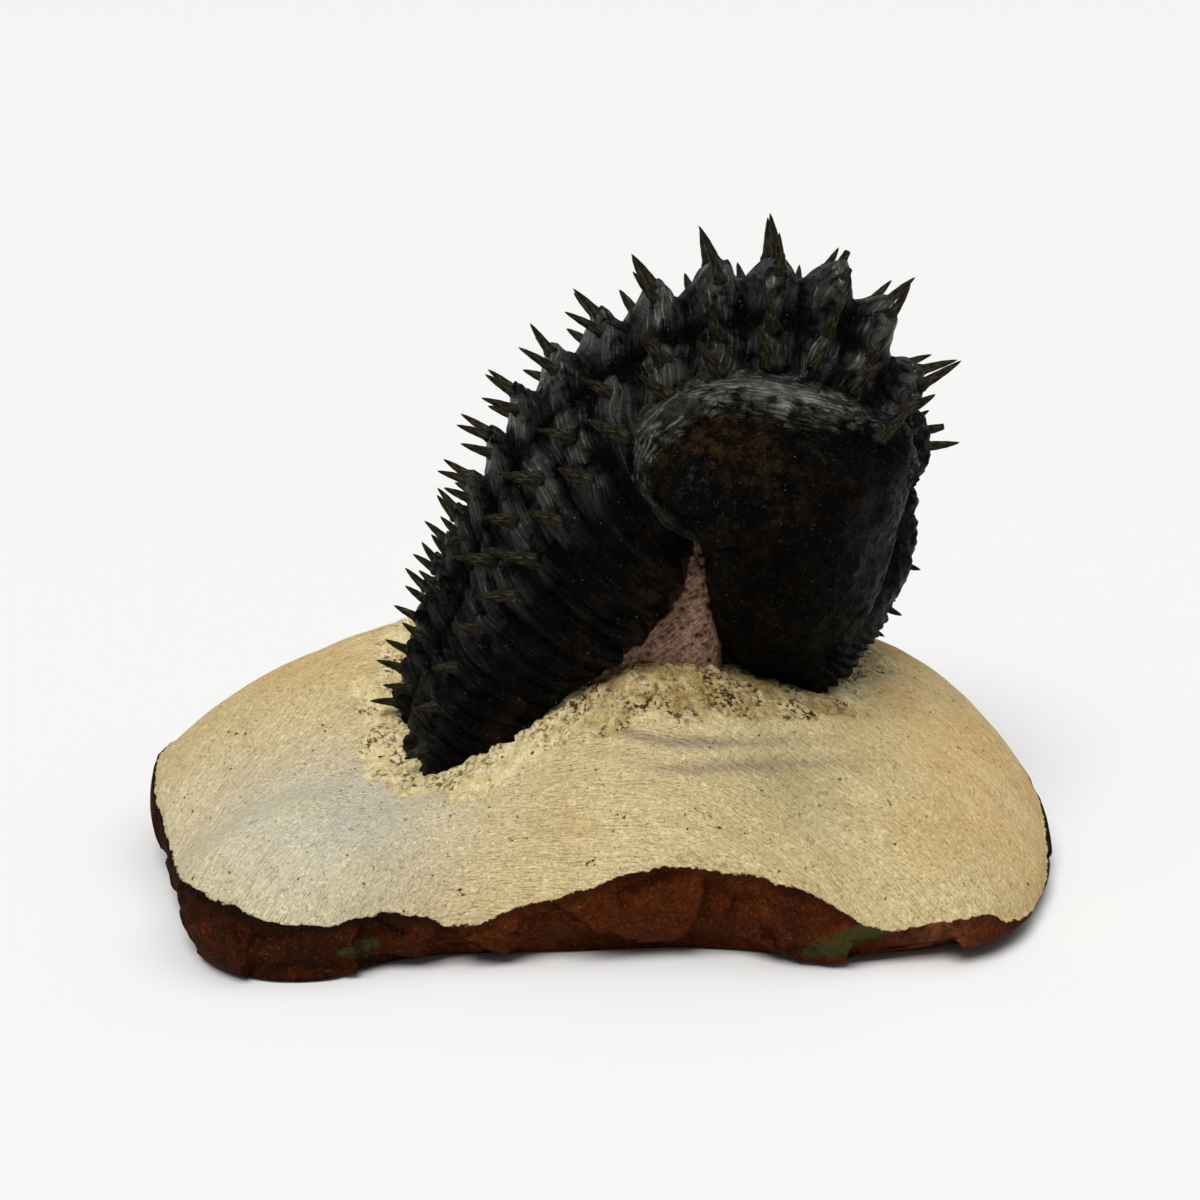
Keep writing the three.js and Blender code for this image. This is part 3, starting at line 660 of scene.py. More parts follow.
# The outline from the side, clockwise from the back of the head: X, Z and squareness of the section there.
HEAD_OUTLINE = [
    [38.2, 50.5, 2.2],
    [37.8, 44.0, 2.0],
    [37.0, 37.0, 2.0],
    [34.6, 31.0, 2.0],
    [31.8, 26.0, 2.0],
    [28.4, 20.4, 2.1],
    [24.8, 18.0, 2.3],
    [19.8, 21.2, 2.6],
    [15.2, 26.0, 3.0],
    [11.4, 31.2, 3.4],
    [10.2, 38.0, 3.8],
    [8.8, 44.4, 4.2],
    [3.6, 46.8, 3.6],
    [0.4, 51.4, 3.4],
    [1.6, 56.4, 3.4],
    [6.0, 60.0, 3.2],
    [12.0, 61.8, 3.2],
    [20.6, 61.0, 3.2],
    [30.2, 58.2, 3.0],
    [36.0, 55.5, 2.8],
]

# Place along the outline, degrees to each side, length, and whether the tip is snapped off.
HEAD_SPINES = [
    [0.0, 0.0, 4.2, True],
    [0.0, 11.5, 4.4, False],
    [2.35, 7.0, 2.0, False],
    [3.15, 0.0, 1.8, False],
    [3.2, 14.0, 2.0, False],
    [3.85, 6.0, 2.2, False],
    [18.25, 38.0, 6.0, False],
]
EYE_MIDDLE, EYE_RADII = [31.4, 13.6, 49.6], [3.6, 2.7, 3.4]
EYE_COLUMNS, EYE_ROWS, EYE_TURN = 96, 60, 86
LENS_COLUMNS, LENS_ROWS = 26, 18
EYE_SPINE, EYE_SPINE_ROOT, EYE_SPINE_LEAN = 3.8, [0.4, 0.0, 2.8], [0.8, 0.2, 0.5]


def head_half(x, z):
    """Half width of the head, which narrows from the back of the cheeks to the front margin."""
    forwards = 0.45 * (x - 12) + 0.9 * (58 - z)
    return CHEEK_HALF * (1 - HEAD_NARROWING * rise(8, 42, forwards))


def head_dip(x, across, z):
    """Depth of the furrows behind the middle lobe and on each side of it, and of the cheeks below it."""
    lobe_half = 8.2 + 0.2 * (46 - z)
    behind = (2.2 * bump(z - 45.8, 1.4) + 0.8 * bump(z - 42.2, 0.9)) * fall(8, 12, across)
    beside = 2.8 * bump(across - lobe_half - 1.5, 2.6) * (0.3 + 0.7 * rise(26, 38, z))
    cheek = 1.6 * rise(lobe_half - 1, lobe_half + 5, across) * rise(30, 44, z)
    return rise(24, 32, x) * (behind + beside + cheek)


def head_base(place, turn):
    """The head's closed pillow: points, depth inside the outline, and side. Its section from the outline
    (turn 0) to the middle of a cheek (turn 90 degrees) is a superellipse, |reach|^n + |side|^n = 1, taken at
    the polar angle turn. reach scales the spoke from the head's middle, which fades from the outline to a
    plain round; side scales the half width."""
    outline_x, outline_z, square = spline(HEAD_OUTLINE, place, closed=True)
    cosine, sine = np.abs(np.cos(turn)), np.abs(np.sin(turn))
    radius = (cosine**square + sine**square) ** (-1 / square)
    reach, side = radius * cosine, np.sign(turn) * radius * sine
    middle_x, middle_z = HEAD_MIDDLE
    rim = np.hypot(outline_x - middle_x, outline_z - middle_z)
    way_x, way_z = (outline_x - middle_x) / rim, (outline_z - middle_z) / rim
    length = HEAD_ROUND * reach + (rim - HEAD_ROUND) * reach**2
    x, z = middle_x + way_x * length, middle_z + way_z * length
    across = head_half(x, z) * side
    length = length - head_dip(x, np.abs(across), z)
    points = np.stack([middle_x + way_x * length, across, middle_z + way_z * length], -1)
    return points, rim - length, side


def head_cap():
    """The cap's surface: the pillow, lifted by a rolled border round the cheeks with a furrow inside it, by
    wavy ridges along the front margin, by grains on the middle lobe and cheeks, and by lumps and fibres."""
    place = np.linspace(0, len(HEAD_OUTLINE), HEAD_COLUMNS, endpoint=False)[None, :]
    turn = np.radians(np.linspace(-HEAD_TURN, HEAD_TURN, HEAD_ROWS))[:, None]
    base, inside, side = head_base(*np.broadcast_arrays(place, turn))
    outward = grid_normals(base)
    x, across, z = np.moveaxis(base, -1, 0)
    on_cheek = rise(0.45, 0.75, np.abs(side))
    rear = rise(10.4, 11.6, place) * fall(18.0, 19.4, place)
    under = rise(3.0, 5.0, place) * fall(10.4, 11.6, place)
    width = BORDER_WIDTH * (1 + 0.20 * noise(base, 9, 5) + 0.22 * noise(base, 2.2, 6, 2))
    border = on_cheek * fall(width - 0.8, width + 1.0, inside) * (rear + 0.4 * under)
    groove = on_cheek * bump(inside - width - 0.9, 1.0) * (rear + 0.25 * under)
    strands = np.stack([place * 1.1 + 0 * turn, inside, 0 * inside], -1)
    rolled = 0.6 * border * np.sin(np.pi * np.clip(inside / width, 0, 1)) ** 0.6
    rolled = rolled + 0.22 * border * noise(strands, 0.8, 44, 2)
    front = rise(22, 27, x) * fall(26, 31, z)
    ripple = 0.30 * front * np.sin((x + z * 0.8 + 1.2 * noise(base, 5, 8)) * 2 * np.pi / 1.5)
    near, size, _ = pebbles(base, 1.3, 31)
    lobe = rise(30, 34, x) * fall(9, 12, np.abs(across))
    grains = (0.14 + 0.24 * lobe) * (0.3 + 0.7 * size) * fall(0.15, 0.65, near)
    lumps = 0.55 * noise(base, 8, 61, 2) + 0.24 * noise(base, 2.4, 67, 2) + 0.10 * noise(base, 0.9, 69)
    lift = rolled - 0.7 * groove + ripple + grains * (1 - border) + lumps * (1 - 0.6 * border)
    rusty = bump(x - 11, 8) * bump(z - 55, 5) + 0.30 * bump(x - 23, 8) * bump(z - 49, 6)
    rusty = rusty + 0.32 * bump(z - 38, 12) * fall(15, 24, x)
    # Painted shade: the crest mark falls on the lower cheeks, and off the border over the middle lobe at the
    # back.
    low = fall(36, 60, z)
    crest = np.clip(0.24 + 0.6 * lift + 0.2 * rear * on_cheek, 0, 1) * (1 - 0.95 * low * on_cheek)
    crest = crest * (1 - 0.90 * on_cheek * (1 - border)) * (1 - 0.80 * (1 - border) * rise(20, 28, x))
    marks = {
        "crest": crest,
        "brown": on_cheek * rusty * (1 - border),
        "band": border * rear * (0.04 + 0.70 * rise(45, 56, z)),
        "teal": on_cheek * bump(x - 31, 5) * bump(z - 42, 5),
        "grain": 1 - border,
    }
    return grid_part(placed(base + outward * lift[..., None]), place * 5.5, inside, marks)


def eye_part(side):
    """One eye: an ellipsoid whose outer face bulges with rows of lenses, set out as the product of a cosine
    round it and one down it, every second row shifted by half a lens."""
    turn = np.linspace(0, 2 * np.pi, EYE_COLUMNS, endpoint=False)[None, :]
    climb = np.radians(np.linspace(-EYE_TURN, EYE_TURN, EYE_ROWS))[:, None]
    height = np.sin(climb) + 0 * turn
    shape = np.stack([np.cos(climb) * np.cos(turn), np.cos(climb) * np.sin(turn), height], -1)
    row = LENS_ROWS * climb / np.pi
    shifted = np.where(np.round(row) % 2 == 0, 0.0, np.pi)
    lens = (0.5 + 0.5 * np.cos(LENS_COLUMNS * turn + shifted)) * (0.5 + 0.5 * np.cos(2 * np.pi * row))
    visual = rise(-0.2, 0.4, shape[..., 1]) * fall(0.45, 0.6, height) * rise(-0.8, -0.6, height)
    lid = 0.10 * rise(0.5, 0.65, height)
    size = 1 + 0.085 * lens * visual + lid + 0.03 * noise(shape * 3, 0.9, 7, 2)
    points = (shape * EYE_RADII * size[..., None] + EYE_MIDDLE) * [1, side, 1]
    points = points[:, ::side]
    marks = {"crest": 0.6, "band": 0.8 * rise(0.45, 0.7, height), "grain": 1.0}
    return grid_part(placed(points), points[..., 0], points[..., 2], marks)


def head_spines():
    """The head's spines: each on the cap stands square on it, and one leans forward over each eye."""
    rows = []
    for place, degrees, length, snapped in HEAD_SPINES:
        for side in (-1, 1) if degrees else (1,):
            rows.append((place, side * math.radians(degrees), length, snapped))
    place, eccentric, length, snapped = np.array(rows, float).T
    _, _, square = spline(HEAD_OUTLINE, place, closed=True)
    turn = np.arctan(np.sign(eccentric) * np.abs(np.tan(eccentric)) ** (2 / square))

    def slope(place_step, turn_step):
        after, _, _ = head_base(place + place_step, turn + turn_step)
        before, _, _ = head_base(place - place_step, turn - turn_step)
        return after - before

    step = 0.04
    outward = unit(np.cross(slope(step, 0), slope(0, step)))
    both = np.array([[1, -1, 1], [1, 1, 1]])
    root = np.concatenate([head_base(place, turn)[0], both * EYE_MIDDLE + EYE_SPINE_ROOT])
    direction = np.concatenate([outward, unit(both * np.array(EYE_SPINE_LEAN))])
    length = np.append(length, [EYE_SPINE, EYE_SPINE])
    snapped = np.append(snapped, [0, 0]).astype(bool)
    bend = np.array([0, 0, 0.06]) * length[:, None]
    radii = 0.30 + 0.065 * length
    return curved_spines(placed(root), turned(direction), length, radii, turned(bend), snapped)


head_parts = [head_cap(), eye_part(-1), eye_part(1), *head_spines()]
solid_piece("cephalon_shell", "cephalon", head_parts, SHELL)

# ------------------------------------------------------------------------------------------
# Matrix stone. The piece of limestone that the animal lies in: cut loose below, its broken rim left with the
# dark red-brown skin of the bed, and its top ground down with an air pen to a smooth, finely scored mound
# that turns crumbly and yellow where it meets the shell.

MOUND_HEIGHT = 27.5
STONE_MIDDLE = [0.0, 2.0]
PILLAR_HALF_DEPTH = 18.6
STONE_COLUMNS, FACE_ROWS, MOUND_ROWS = 640, 11, 123
# Rows as shares of the outline: the underside, the foot and shoulder of the broken face, and the last one.
BASE_SHARES = [0.3, 0.7, 0.9]
FOOT_SHARE, SHOULDER_SHARE, TOP_SHARE = 0.97, 0.992, 0.072

# The outline from above, anticlockwise from the front left corner: X, Y, height of the broken rim there, and
# how far the edge of the underside is lifted.
STONE_OUTLINE = [
    [-46.0, -35.5, 9.0, 0.5],
    [-39.0, -42.2, 5.0, 0.0],
    [-30.0, -42.63, 6.0, 0.0],
    [-22.0, -39.5, 6.6, 1.4],
    [-13.0, -38.5, 5.6, 1.0],
    [-4.0, -38.0, 7.6, 2.0],
    [2.0, -37.5, 9.6, 2.6],
    [9.0, -37.0, 11.2, 2.8],
    [16.0, -37.5, 10.0, 1.6],
    [24.0, -39.0, 7.4, 0.4],
    [31.0, -38.6, 3.8, 0.4],
    [41.0, -37.0, 4.6, 1.2],
    [47.5, -31.0, 3.4, 1.0],
    [52.0, -20.0, 3.0, 0.6],
    [54.0, -6.0, 3.6, 0.4],
    [52.5, 8.0, 4.5, 0.2],
    [46.0, 21.0, 6.0, 0.0],
    [34.0, 31.5, 7.0, 0.6],
    [18.0, 40.5, 7.5, 1.0],
    [0.0, 43.0, 7.0, 0.6],
    [-18.0, 41.5, 7.5, 0.0],
    [-34.0, 33.0, 8.0, 0.4],
    [-46.0, 22.0, 8.5, 1.0],
    [-52.5, 8.0, 9.5, 1.2],
    [-54.0, -6.0, 10.5, 1.0],
    [-49.4, -22.0, 6.5, 0.8],
]


def mound_height(x, y, rim, share):
    """Height of the mound: from the rim towards the top as (1 - share^2.2)^0.75, with a hump along the
    contact on both sides, a hollow before the tail and a fuller side behind the head."""
    mound = rim + (MOUND_HEIGHT - rim) * np.clip(1 - share**2.2, 0, 1) ** 0.75
    contact = 6 * bump(x - 7, 15) * bump(np.abs(y - ANIMAL_Y) - 20, 8)
    hollow = 9.4 * bump(x + 21, np.where(x < -21, 20, 10)) * bump(y + 18, np.where(y < -18, 14, 18))
    return mound + contact - hollow + 2.8 * bump(x - 41, 14) * bump(y - 8, 22)


def nearness(points, samples, reach):
    """1 at the nearest of the sample points, falling to 0 at the given reach from it."""
    nearest = np.full(points.shape[:-1], np.inf)
    for block in np.array_split(samples, len(samples) // 24):
        gaps = np.linalg.norm(points[..., None, :] - block, axis=-1)
        nearest = np.minimum(nearest, gaps.min(-1))
    return np.clip(1 - nearest / reach, 0, 1)


def contact_samples():
    """Points on the shell where it nears the rock, and at the foot of the rock under the arch."""
    place, angle = np.linspace(8, TAIL_END, 26)[:, None], np.radians(np.linspace(-90, 90, 25))
    back = back_base(*np.broadcast_arrays(place, angle))
    place, turn = np.linspace(3.5, 10, 22)[:, None], np.radians(np.linspace(-80, 80, 27))
    cap, _, _ = head_base(*np.broadcast_arrays(place, turn))
    foot = [[x, side * PILLAR_HALF_DEPTH, MOUND_HEIGHT] for x in np.linspace(-9, 14, 24) for side in (-1, 1)]
    return placed(np.concatenate([back.reshape(-1, 3), cap.reshape(-1, 3), foot]))


def facets(points, size, seed, slope):
    """Height of broken rock in flat faces: one plane to each strewn point, tilted its own way by slope."""
    _, number, way = pebbles(points, size, seed)
    turn, climb = 2 * np.pi * number, 2 * np.pi * np.modf(number * 37.0)[0]
    tilt = np.stack([np.cos(turn) * np.cos(climb), np.sin(turn) * np.cos(climb), np.sin(climb)], -1)
    return slope * (way * tilt).sum(-1) + 0.12 * size * slope * (2 * np.modf(number * 91.0)[0] - 1)


def block_rows():
    """Rows from the middle of the underside out to its edge, up the broken face to its shoulder, and in over
    the mound: the points, and the height of the shoulder under each."""
    around = np.linspace(0, len(STONE_OUTLINE), STONE_COLUMNS, endpoint=False)
    x, y, rim, lift = spline(STONE_OUTLINE, around, closed=True)
    outline = np.stack([x, y], -1) - STONE_MIDDLE

    def mound_at(share):
        return mound_height(*(STONE_MIDDLE + outline * share).T, rim, share)

    foot, belly, shoulder = lift + 0.2, 0.55 * rim + 0.8, mound_at(SHOULDER_SHARE)
    edge = BASE_SHARES[-1]
    climb = np.linspace(0, 1, FACE_ROWS + 1)[1:]
    inward = np.linspace(0, 1, MOUND_ROWS + 1)[1:] ** 1.1
    rows = [(share, 0 * rim) for share in BASE_SHARES]
    rows += [(edge + (FOOT_SHARE - edge) * t, foot * t) for t in (0.35, 0.7, 1.0)]
    rows += [
        (FOOT_SHARE + (1 - FOOT_SHARE) * math.sin(math.pi / 2 * t), foot + (belly - foot) * t)
        for t in climb
    ]
    rows += [(1 - (1 - SHOULDER_SHARE) * t**1.5, belly + (shoulder - belly) * t) for t in climb]
    rows += [(share, mound_at(share)) for share in SHOULDER_SHARE + (TOP_SHARE - SHOULDER_SHARE) * inward]
    points = [np.column_stack([STONE_MIDDLE + outline * share, height]) for share, height in rows]
    return np.stack(points), shoulder


def stone_block():
    """The block. Its broken face is chipped in facets of two sizes; the mound is ground smooth, then torn
    into crumbs near the shell. The mark skin is 1 on the broken face, 0.5 at the edge of the ground."""
    points, shoulder = block_rows()
    outward = grid_normals(points)
    x, y, height = np.moveaxis(points, -1, 0)
    row = np.arange(len(points))[:, None]
    above = row > len(points) - MOUND_ROWS + 8
    below = row < len(BASE_SHARES)
    front = np.where(y < -15, 1.0, 0.0)
    edge = height - shoulder - 0.35 * noise(points, 3.2, 11, 2) - 0.7 * noise(points, 11, 12) + 0.5
    corner = 2.6 * bump(x + 38.5, 5.5) + 1.1 * bump(x + 27, 6)
    edge = edge + front * (2.4 * bump(x - 49, 5) - corner)
    edge = np.where(below, -6, np.where(above, 6, edge))
    ground = rise(-0.4, 0.4, edge)
    crumbly = nearness(points, contact_samples(), 9.5) + 0.26 * noise(points, 5, 21, 3)
    wandering = x + 6 * noise(points, 7, 23, 2)
    crumbly = crumbly - 0.42 * fall(-38, -20, wandering) - 0.16 * rise(22, 36, wandering)
    ragged = rise(0.32, 0.52, crumbly)
    chipped = facets(points, 12, 3, 0.32) + facets(points, 4.6, 5, 0.26) + 0.22 * noise(points, 1.6, 6, 3)
    # Painted shade: the hollows between the chips, darkened in the material.
    chip_shade = np.clip(0.45 - 0.4 * chipped, 0, 1)
    chipped = np.clip(chipped - 0.3, -1.1, 0.45) * (0.25 + 0.75 * rise(0, 2.2, -edge))
    chipped = chipped * (1 - 0.6 * rise(42, 50, np.abs(x)))
    smooth = 0.30 * noise(points, 14, 31) + 0.10 * noise(points, 4, 32, 2) - 0.5
    pits, _, _ = pebbles(points, 1.3, 41)
    crumbs = 0.38 * noise(points, 2.6, 42, 3) + 0.16 * noise(points, 0.8, 43)
    crumbs = crumbs - 0.4 * fall(0.1, 0.5, pits)
    broken = (1 - ground) * np.where(below, 0.0, 1.0) * rise(0.0, 1.0, height)
    points = points + outward * (broken * chipped + ground * (smooth + ragged * crumbs))[..., None]
    points[..., 2] = np.maximum(points[..., 2], 0)
    marks = {"skin": np.clip(0.5 - edge / 6, 0, 1), "crumbly": np.clip(crumbly, 0, 1), "hollow": chip_shade}
    marks = {**marks, **stone_patches(points, front)}
    return grid_part(points, *tool_flow(*np.moveaxis(points, -1, 0)), marks, start=[*STONE_MIDDLE, 0.0])


def stone_patches(points, front):
    """The block's patches of colour, by name: each a product of bumps and rises of the place. The two bands
    and the three lenses of other rock are only on the front face."""
    x, y, z = np.moveaxis(points, -1, 0)
    cool = bump(x + 27, 13) * bump(y + 27, 12) + 0.5 * fall(-34, -16, x) * fall(-20, 0, y)
    warm = 1.5 * rise(18, 52, x) * rise(-48, -8, y) + 0.6 * rise(-8, 12, y)
    sloped = z + 0.06 * x + 0.6 * noise(points, 8, 51)
    bands = 1.3 * bump(sloped - 23.0, 0.5) * bump(x - 8, 12) + bump(sloped - 20.9, 0.6) * bump(x - 15, 12)
    lens = ((x - 26.6) / 5.2) ** 2 + ((z - 3.5 - 0.30 * (x - 26.6)) / 1.7) ** 2
    small_lens = ((x + 26) / 2.4) ** 2 + ((z - 3.3) / 0.9) ** 2
    return {
        "cool": np.clip(cool, 0, 1),
        "warm": np.clip(warm, 0, 1),
        "greyband": np.clip(bands, 0, 1) * front,
        "moss": bump(x - 22, 9) * bump(y + 28, 7),
        "green": fall(0.6, 1.1, np.minimum(lens, small_lens)) * front,
        "rosy": 0.8 * bump(x - 37, 4) * front,
        "amber": front * rise(-8, 4, x),
        "burnt": np.maximum(1 - 0.8 * rise(-24, -12, x) * front, 0.9 * bump(x - 20.8, 2.4) * front),
    }


def tool_flow(x, y, z):
    """Flow along the tool's path over the mound. From above its slope is 0.9 - tanh((x + 24) / 8), less 1/36
    for each millimetre past x = 6; climbed is the path's own height, the integral of that slope."""
    slope = 0.9 - np.tanh((x + 24) / 8) - np.maximum(x - 6, 0) / 36
    climbed = 0.9 * x - 8 * np.log(np.cosh((x + 24) / 8)) - np.maximum(x - 6, 0) ** 2 / 72
    return x + 0.5 * slope * y, (y - climbed) / np.sqrt(1 + slope**2) + 0.3 * z


# The rock under the arch from the side, in the animal's frame: height, left edge and right edge.
PILLAR_OUTLINE = [
    [12.0, -14.0, 14.0],
    [18.0, -12.0, 13.8],
    [24.0, -10.0, 13.4],
    [30.0, -4.6, 13.0],
    [36.0, 0.8, 11.9],
    [41.0, 5.4, 10.8],
    [44.5, 8.4, 10.0],
]
PILLAR_COLUMNS, PILLAR_ROWS, PILLAR_SQUARE = 320, 150, 7
# Left of a line the rock is painted dark as the shade between the plates' tips.
# The line is upright, then flares out to a foot.
SHADE_LINE_X = 8.5
SHADE_FOOT_TOP, SHADE_FOOT_HEIGHT, SHADE_FOOT_SPREAD = 41.0, 12.0, 9.0


def pillar_part():
    """The rock left standing under the arch: level sections up a spline, each a squarish superellipse, pecked
    all over by the chisel: a pit round each strewn point, and rough between."""
    level = np.linspace(0, len(PILLAR_OUTLINE) - 1, PILLAR_ROWS)[:, None]
    z, left, right = spline(PILLAR_OUTLINE, level)
    turn = np.linspace(0, 2 * np.pi, PILLAR_COLUMNS, endpoint=False)[None, :]
    cosine, sine = np.cos(turn), np.sin(turn)
    radius = (np.abs(cosine) ** PILLAR_SQUARE + np.abs(sine) ** PILLAR_SQUARE) ** (-1 / PILLAR_SQUARE)
    x = (left + right) / 2 + (right - left) / 2 * cosine * radius
    depth = PILLAR_HALF_DEPTH - 1.2 * rise(30, 46, z)
    points = np.stack([x, depth * sine * radius, z + 0 * turn], -1)
    outward = grid_normals(points)
    sheared = points * [1, 1, 1.5] + points[..., 0:1] * [0, 0, 0.6]
    sheared = sheared + 0.8 * noise(points, 1.6, 75, 2)[..., None]
    near, number, _ = pebbles(sheared, 0.95, 71)
    pecked = -0.5 * fall(0.1, 0.65, near) * (0.25 + 0.75 * number)
    rough = 0.35 * noise(points, 4, 72, 2) + 0.14 * noise(points, 0.9, 73, 2)
    mauve = rise(-0.5, 0.4, z - 27.6 + 0.12 * x - 0.5 * noise(points, 3, 74, 2))
    points = points + outward * (pecked + rough)[..., None]
    x, y, z = np.moveaxis(points, -1, 0)
    below = np.clip((SHADE_FOOT_TOP - z) / SHADE_FOOT_HEIGHT, 0, 1)
    shade_edge = SHADE_LINE_X - SHADE_FOOT_SPREAD * below**2
    arch_shade = fall(-0.4, 0.3, x - shade_edge + 0.4 * noise(points, 1.2, 76)) * rise(29, 30.5, z)
    # The hollow mark darkens the chisel pits and the rock left of the line: painted shade.
    marks = {
        "pillar": mauve,
        "crumbly": 0.8 * (1 - mauve),
        "amber": 1 - mauve,
        "hollow": np.clip(-2.2 * pecked, 0, 1) + 1.6 * arch_shade,
    }
    return grid_part(placed(points), 0.8 * x + 0.4 * y + 0.6 * z, 0.8 * z - 0.6 * x, marks)


def stone_material():
    """Limestone: cream, scored by fine parallel tool marks, specked with dark grains and pits; cooler,
    warmer, mossy and grey-banded in places; yellow and pitted by the shell; mauve-brown where it was
    chiselled under the arch, with painted shade in the chisel pits and between the plates' tips; and a dark
    red-brown skin on the broken rim, blackest along its upper edge, with painted shade between its chips."""
    cream, sand, chalk = (0.770, 0.590, 0.290, 1), (0.240, 0.160, 0.065, 1), (0.980, 0.860, 0.530, 1)
    blue, rose, grey = (0.750, 0.745, 0.640, 1), (0.950, 0.605, 0.240, 1), (0.260, 0.200, 0.140, 1)
    yellow, amber, umber = (0.740, 0.530, 0.195, 1), (0.390, 0.260, 0.082, 1), (0.065, 0.038, 0.013, 1)
    mossy, mauve, plum = (0.420, 0.390, 0.210, 1), (0.430, 0.255, 0.172, 1), (0.055, 0.026, 0.016, 1)
    velvet, rust, soot_and_shade = (0.095, 0.0170, 0.0016, 1), (0.150, 0.0310, 0.0034, 1), (0.014, 0.0042, 0.0016, 1)
    leaf, pink, lilac = (0.060, 0.058, 0.016, 1), (0.260, 0.085, 0.036, 1), (0.600, 0.400, 0.300, 1)
    material, shader, fibres, mottle, mark = new_material("limestone")
    strokes, scores, smears = fibres(2.6, 0.16), fibres(1.0, 0.13), fibres(16, 1.6)
    grain = mottle(0.45, 0.5, 0.12)
    ground = [
        (0.9 * mark("cool"), blue),
        (0.6 * mark("warm"), rose),
        (0.6 * mark("moss"), mossy),
        (0.36 * mottle(12, 0.5, 0.18), chalk),
        (0.12 * smears.over(0.45, 0.95), sand),
        (0.20 * smears.over(0.45, 0.05), chalk),
        (0.46 * strokes.over(0.40, 0.95), sand),
        (0.46 * scores.over(0.45, 0.05), chalk),
        (0.20 * grain, sand),
        (0.65 * scores.over(0.68, 0.84) * mottle(5, 0.6, 0.2), sand),
        (mark("greyband") * (0.4 + 0.6 * strokes), grey),
    ]
    torn = (mark("crumbly") + 0.16 * mottle(1.5, 0.5, 0.2)).over(0.42, 0.56)
    crumbs = [
        (mottle(1.3, 0.60, 0.2), chalk),
        (mark("amber") * mottle(2.5, 0.66, 0.2), amber),
    ]
    dirt = (mottle(3.5, 0.45, 0.12) + 0.3 * mark("amber")) * mottle(0.6, 0.43, 0.05)
    chiselled = [
        (0.50 * grain, plum),
        (0.75 * strokes.over(0.45, 0.90), plum),
        (0.40 * scores.over(0.45, 0.10), lilac),
        # Painted shade in the chisel pits and left of the line under the arch.
        ((mark("hollow") + 0.3 * mottle(0.6, 0.5, 0.1)).over(0.2, 1.1), plum),
    ]
    jagged = mark("skin") + 0.06 * mottle(1.1, 0.5, 0.2)
    broken = [
        (mottle(1.8, 0.5, 0.2), rust),
        # Painted shade in the hollows between the chips.
        (0.25 * mark("hollow"), soot_and_shade),
        (0.45 * mottle(0.5, 0.5, 0.08), soot_and_shade),
        (mark("burnt") * (0.35 + 0.5 * mottle(2.2, 0.5, 0.15)), soot_and_shade),
        (0.5 * mottle(0.35, 0.20, 0.04), pink),
        ((1 - jagged.over(0.56, 0.80)) * (0.35 + 0.6 * mark("burnt")), soot_and_shade),
        (mark("rosy") * mottle(1.6, 0.55, 0.15), pink),
        (mark("green") * mottle(0.8, 0.70, 0.1), leaf),
    ]
    layers = [
        *ground,
        (0.85 * torn, painted(yellow, crumbs)),
        (0.95 * torn * dirt, umber),
        (0.6 * mottle(0.5, 0.19, 0.02), grey),
        (mottle(0.9, 0.065, 0.01), umber),
        (mark("pillar"), painted(mauve, chiselled)),
        (jagged.over(0.515, 0.535), painted(velvet, broken)),
    ]
    reliefs = [
        (jagged.over(0.50, 0.56) * mottle(1.5, 0.5, 0.25), 0.6, 1.0),
        (grain, 0.10, 0.9),
        (strokes, 0.08, 0.9),
        (scores, 0.03, 0.9),
        (mottle(1.1, 0.5, 0.2), 0.20, 0.6),
    ]
    finish_shader(shader, painted(cream, layers), grain, (0.70, 0.92), reliefs, 1.15)
    return material


LIMESTONE = stone_material()
solid_piece("matrix_stone_dressed", "matrix_stone", [stone_block()], LIMESTONE)
solid_piece("matrix_stone_under_arch", "matrix_stone", [pillar_part()], LIMESTONE)

# ------------------------------------------------------------------------------------------
# Studio. A pale floor that is no part of the object, one broad soft light high in front to the left, a weaker
# one high behind to the right, an even pale sky, and the camera. Here lengths are in metres.

FLOOR_HALF, FLOOR_BELOW = 3.0, 0.0002
VIEW_RISE, VIEW_DISTANCE, VIEW_MIDDLE = 17.5, 0.300, (0.0, 0.0, 0.03)

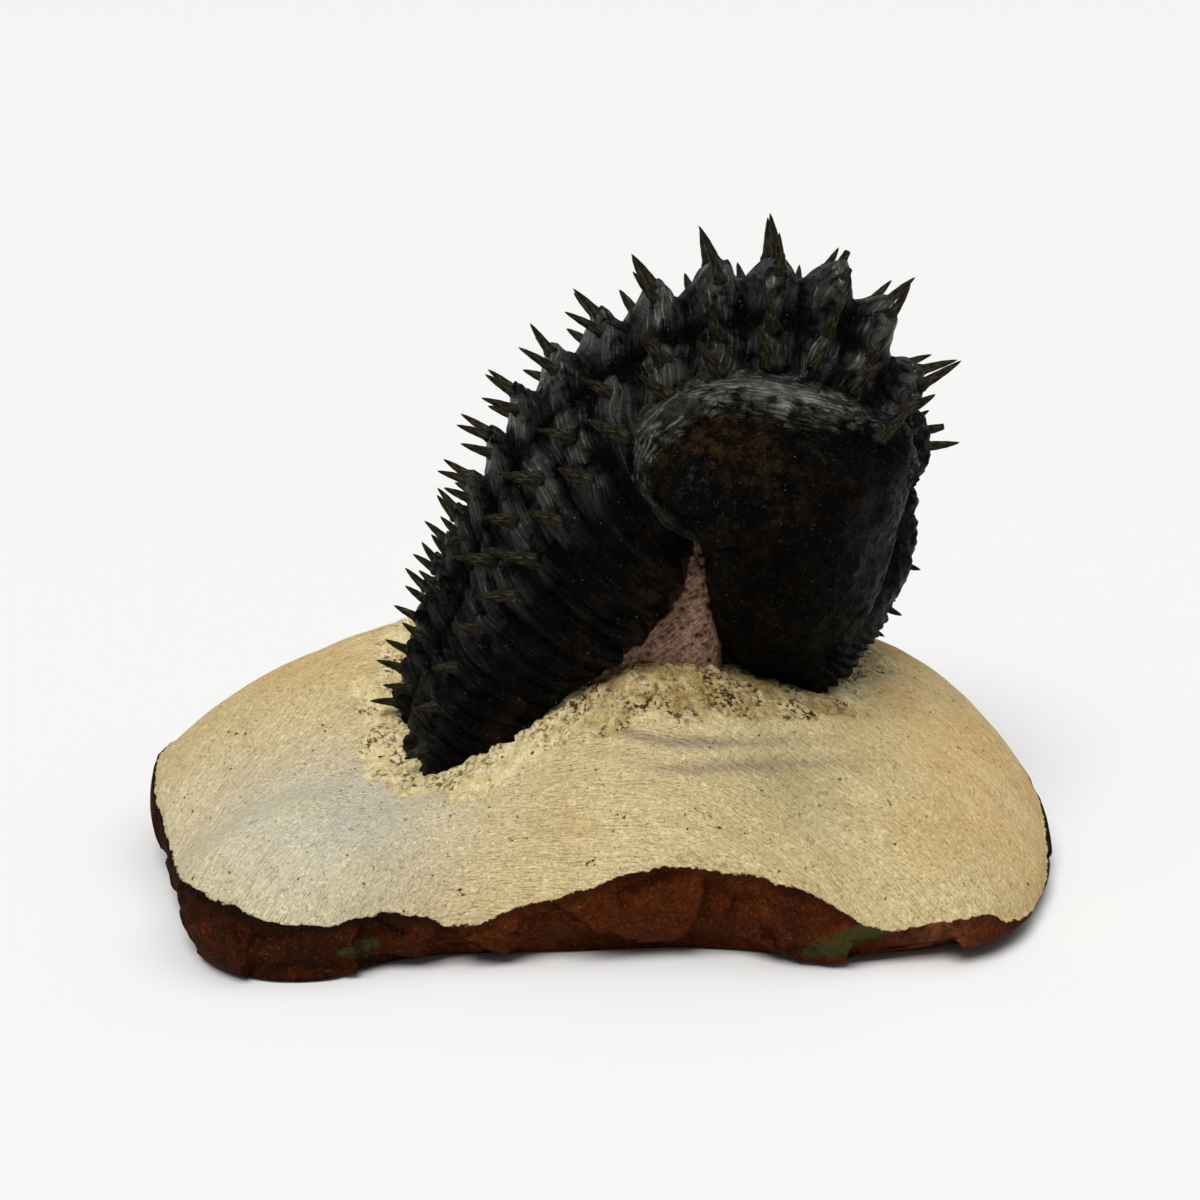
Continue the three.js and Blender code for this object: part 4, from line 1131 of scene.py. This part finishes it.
floor_mesh = bpy.data.meshes.new("studio_floor")
floor_corners = [(FLOOR_HALF * x, FLOOR_HALF * y, 0) for x, y in ((-1, -1), (1, -1), (1, 1), (-1, 1))]
floor_mesh.from_pydata(floor_corners, [], [(0, 1, 2, 3)])
floor_material = bpy.data.materials.new("pale_floor")
floor_material.use_nodes = True
floor_shader = floor_material.node_tree.nodes["Principled BSDF"]
floor_shader.inputs["Base Color"].default_value = (0.86, 0.86, 0.86, 1)
floor_shader.inputs["Roughness"].default_value = 0.9
floor_mesh.materials.append(floor_material)
floor = bpy.data.objects.new("studio_floor", floor_mesh)
floor.location.z = -FLOOR_BELOW
bpy.context.scene.collection.objects.link(floor)


def from_above(rise_degrees, turn_degrees):
    """The direction rise_degrees above the floor and turn_degrees right of the front."""
    climb, turn = math.radians(rise_degrees), math.radians(turn_degrees)
    return Vector((math.sin(turn) * math.cos(climb), -math.cos(turn) * math.cos(climb), math.sin(climb)))


def staged(name, data, towards):
    """A light or camera whose back is turned towards a direction."""
    made = bpy.data.objects.new(name, data)
    made.rotation_mode = "QUATERNION"
    made.rotation_quaternion = towards.to_track_quat("Z", "Y")
    bpy.context.scene.collection.objects.link(made)
    return made


def soft_light(name, rise_degrees, turn_degrees, spread_degrees, strength, colour):
    """A far, broad light."""
    data = bpy.data.lights.new(name, "SUN")
    data.energy = strength
    data.color = colour
    data.angle = math.radians(spread_degrees)
    staged(name, data, from_above(rise_degrees, turn_degrees))


soft_light("key", 60, -22, 36, 2.5, (1.0, 0.985, 0.96))
soft_light("top", 74, 110, 60, 0.8, (0.99, 0.99, 1.0))

world = bpy.data.worlds.new("studio_sky")
world.use_nodes = True
sky = world.node_tree.nodes["Background"]
sky.inputs["Color"].default_value = (0.95, 0.97, 1.0, 1)
sky.inputs["Strength"].default_value = 0.18
bpy.context.scene.world = world

camera_data = bpy.data.cameras.new("camera")
camera_data.lens = 75
camera_data.sensor_width = 36
camera = staged("camera", camera_data, from_above(VIEW_RISE, 0))
camera.location = Vector(VIEW_MIDDLE) + from_above(VIEW_RISE, 0) * VIEW_DISTANCE
bpy.context.scene.camera = camera
bpy.context.scene.view_settings.view_transform = "Standard"
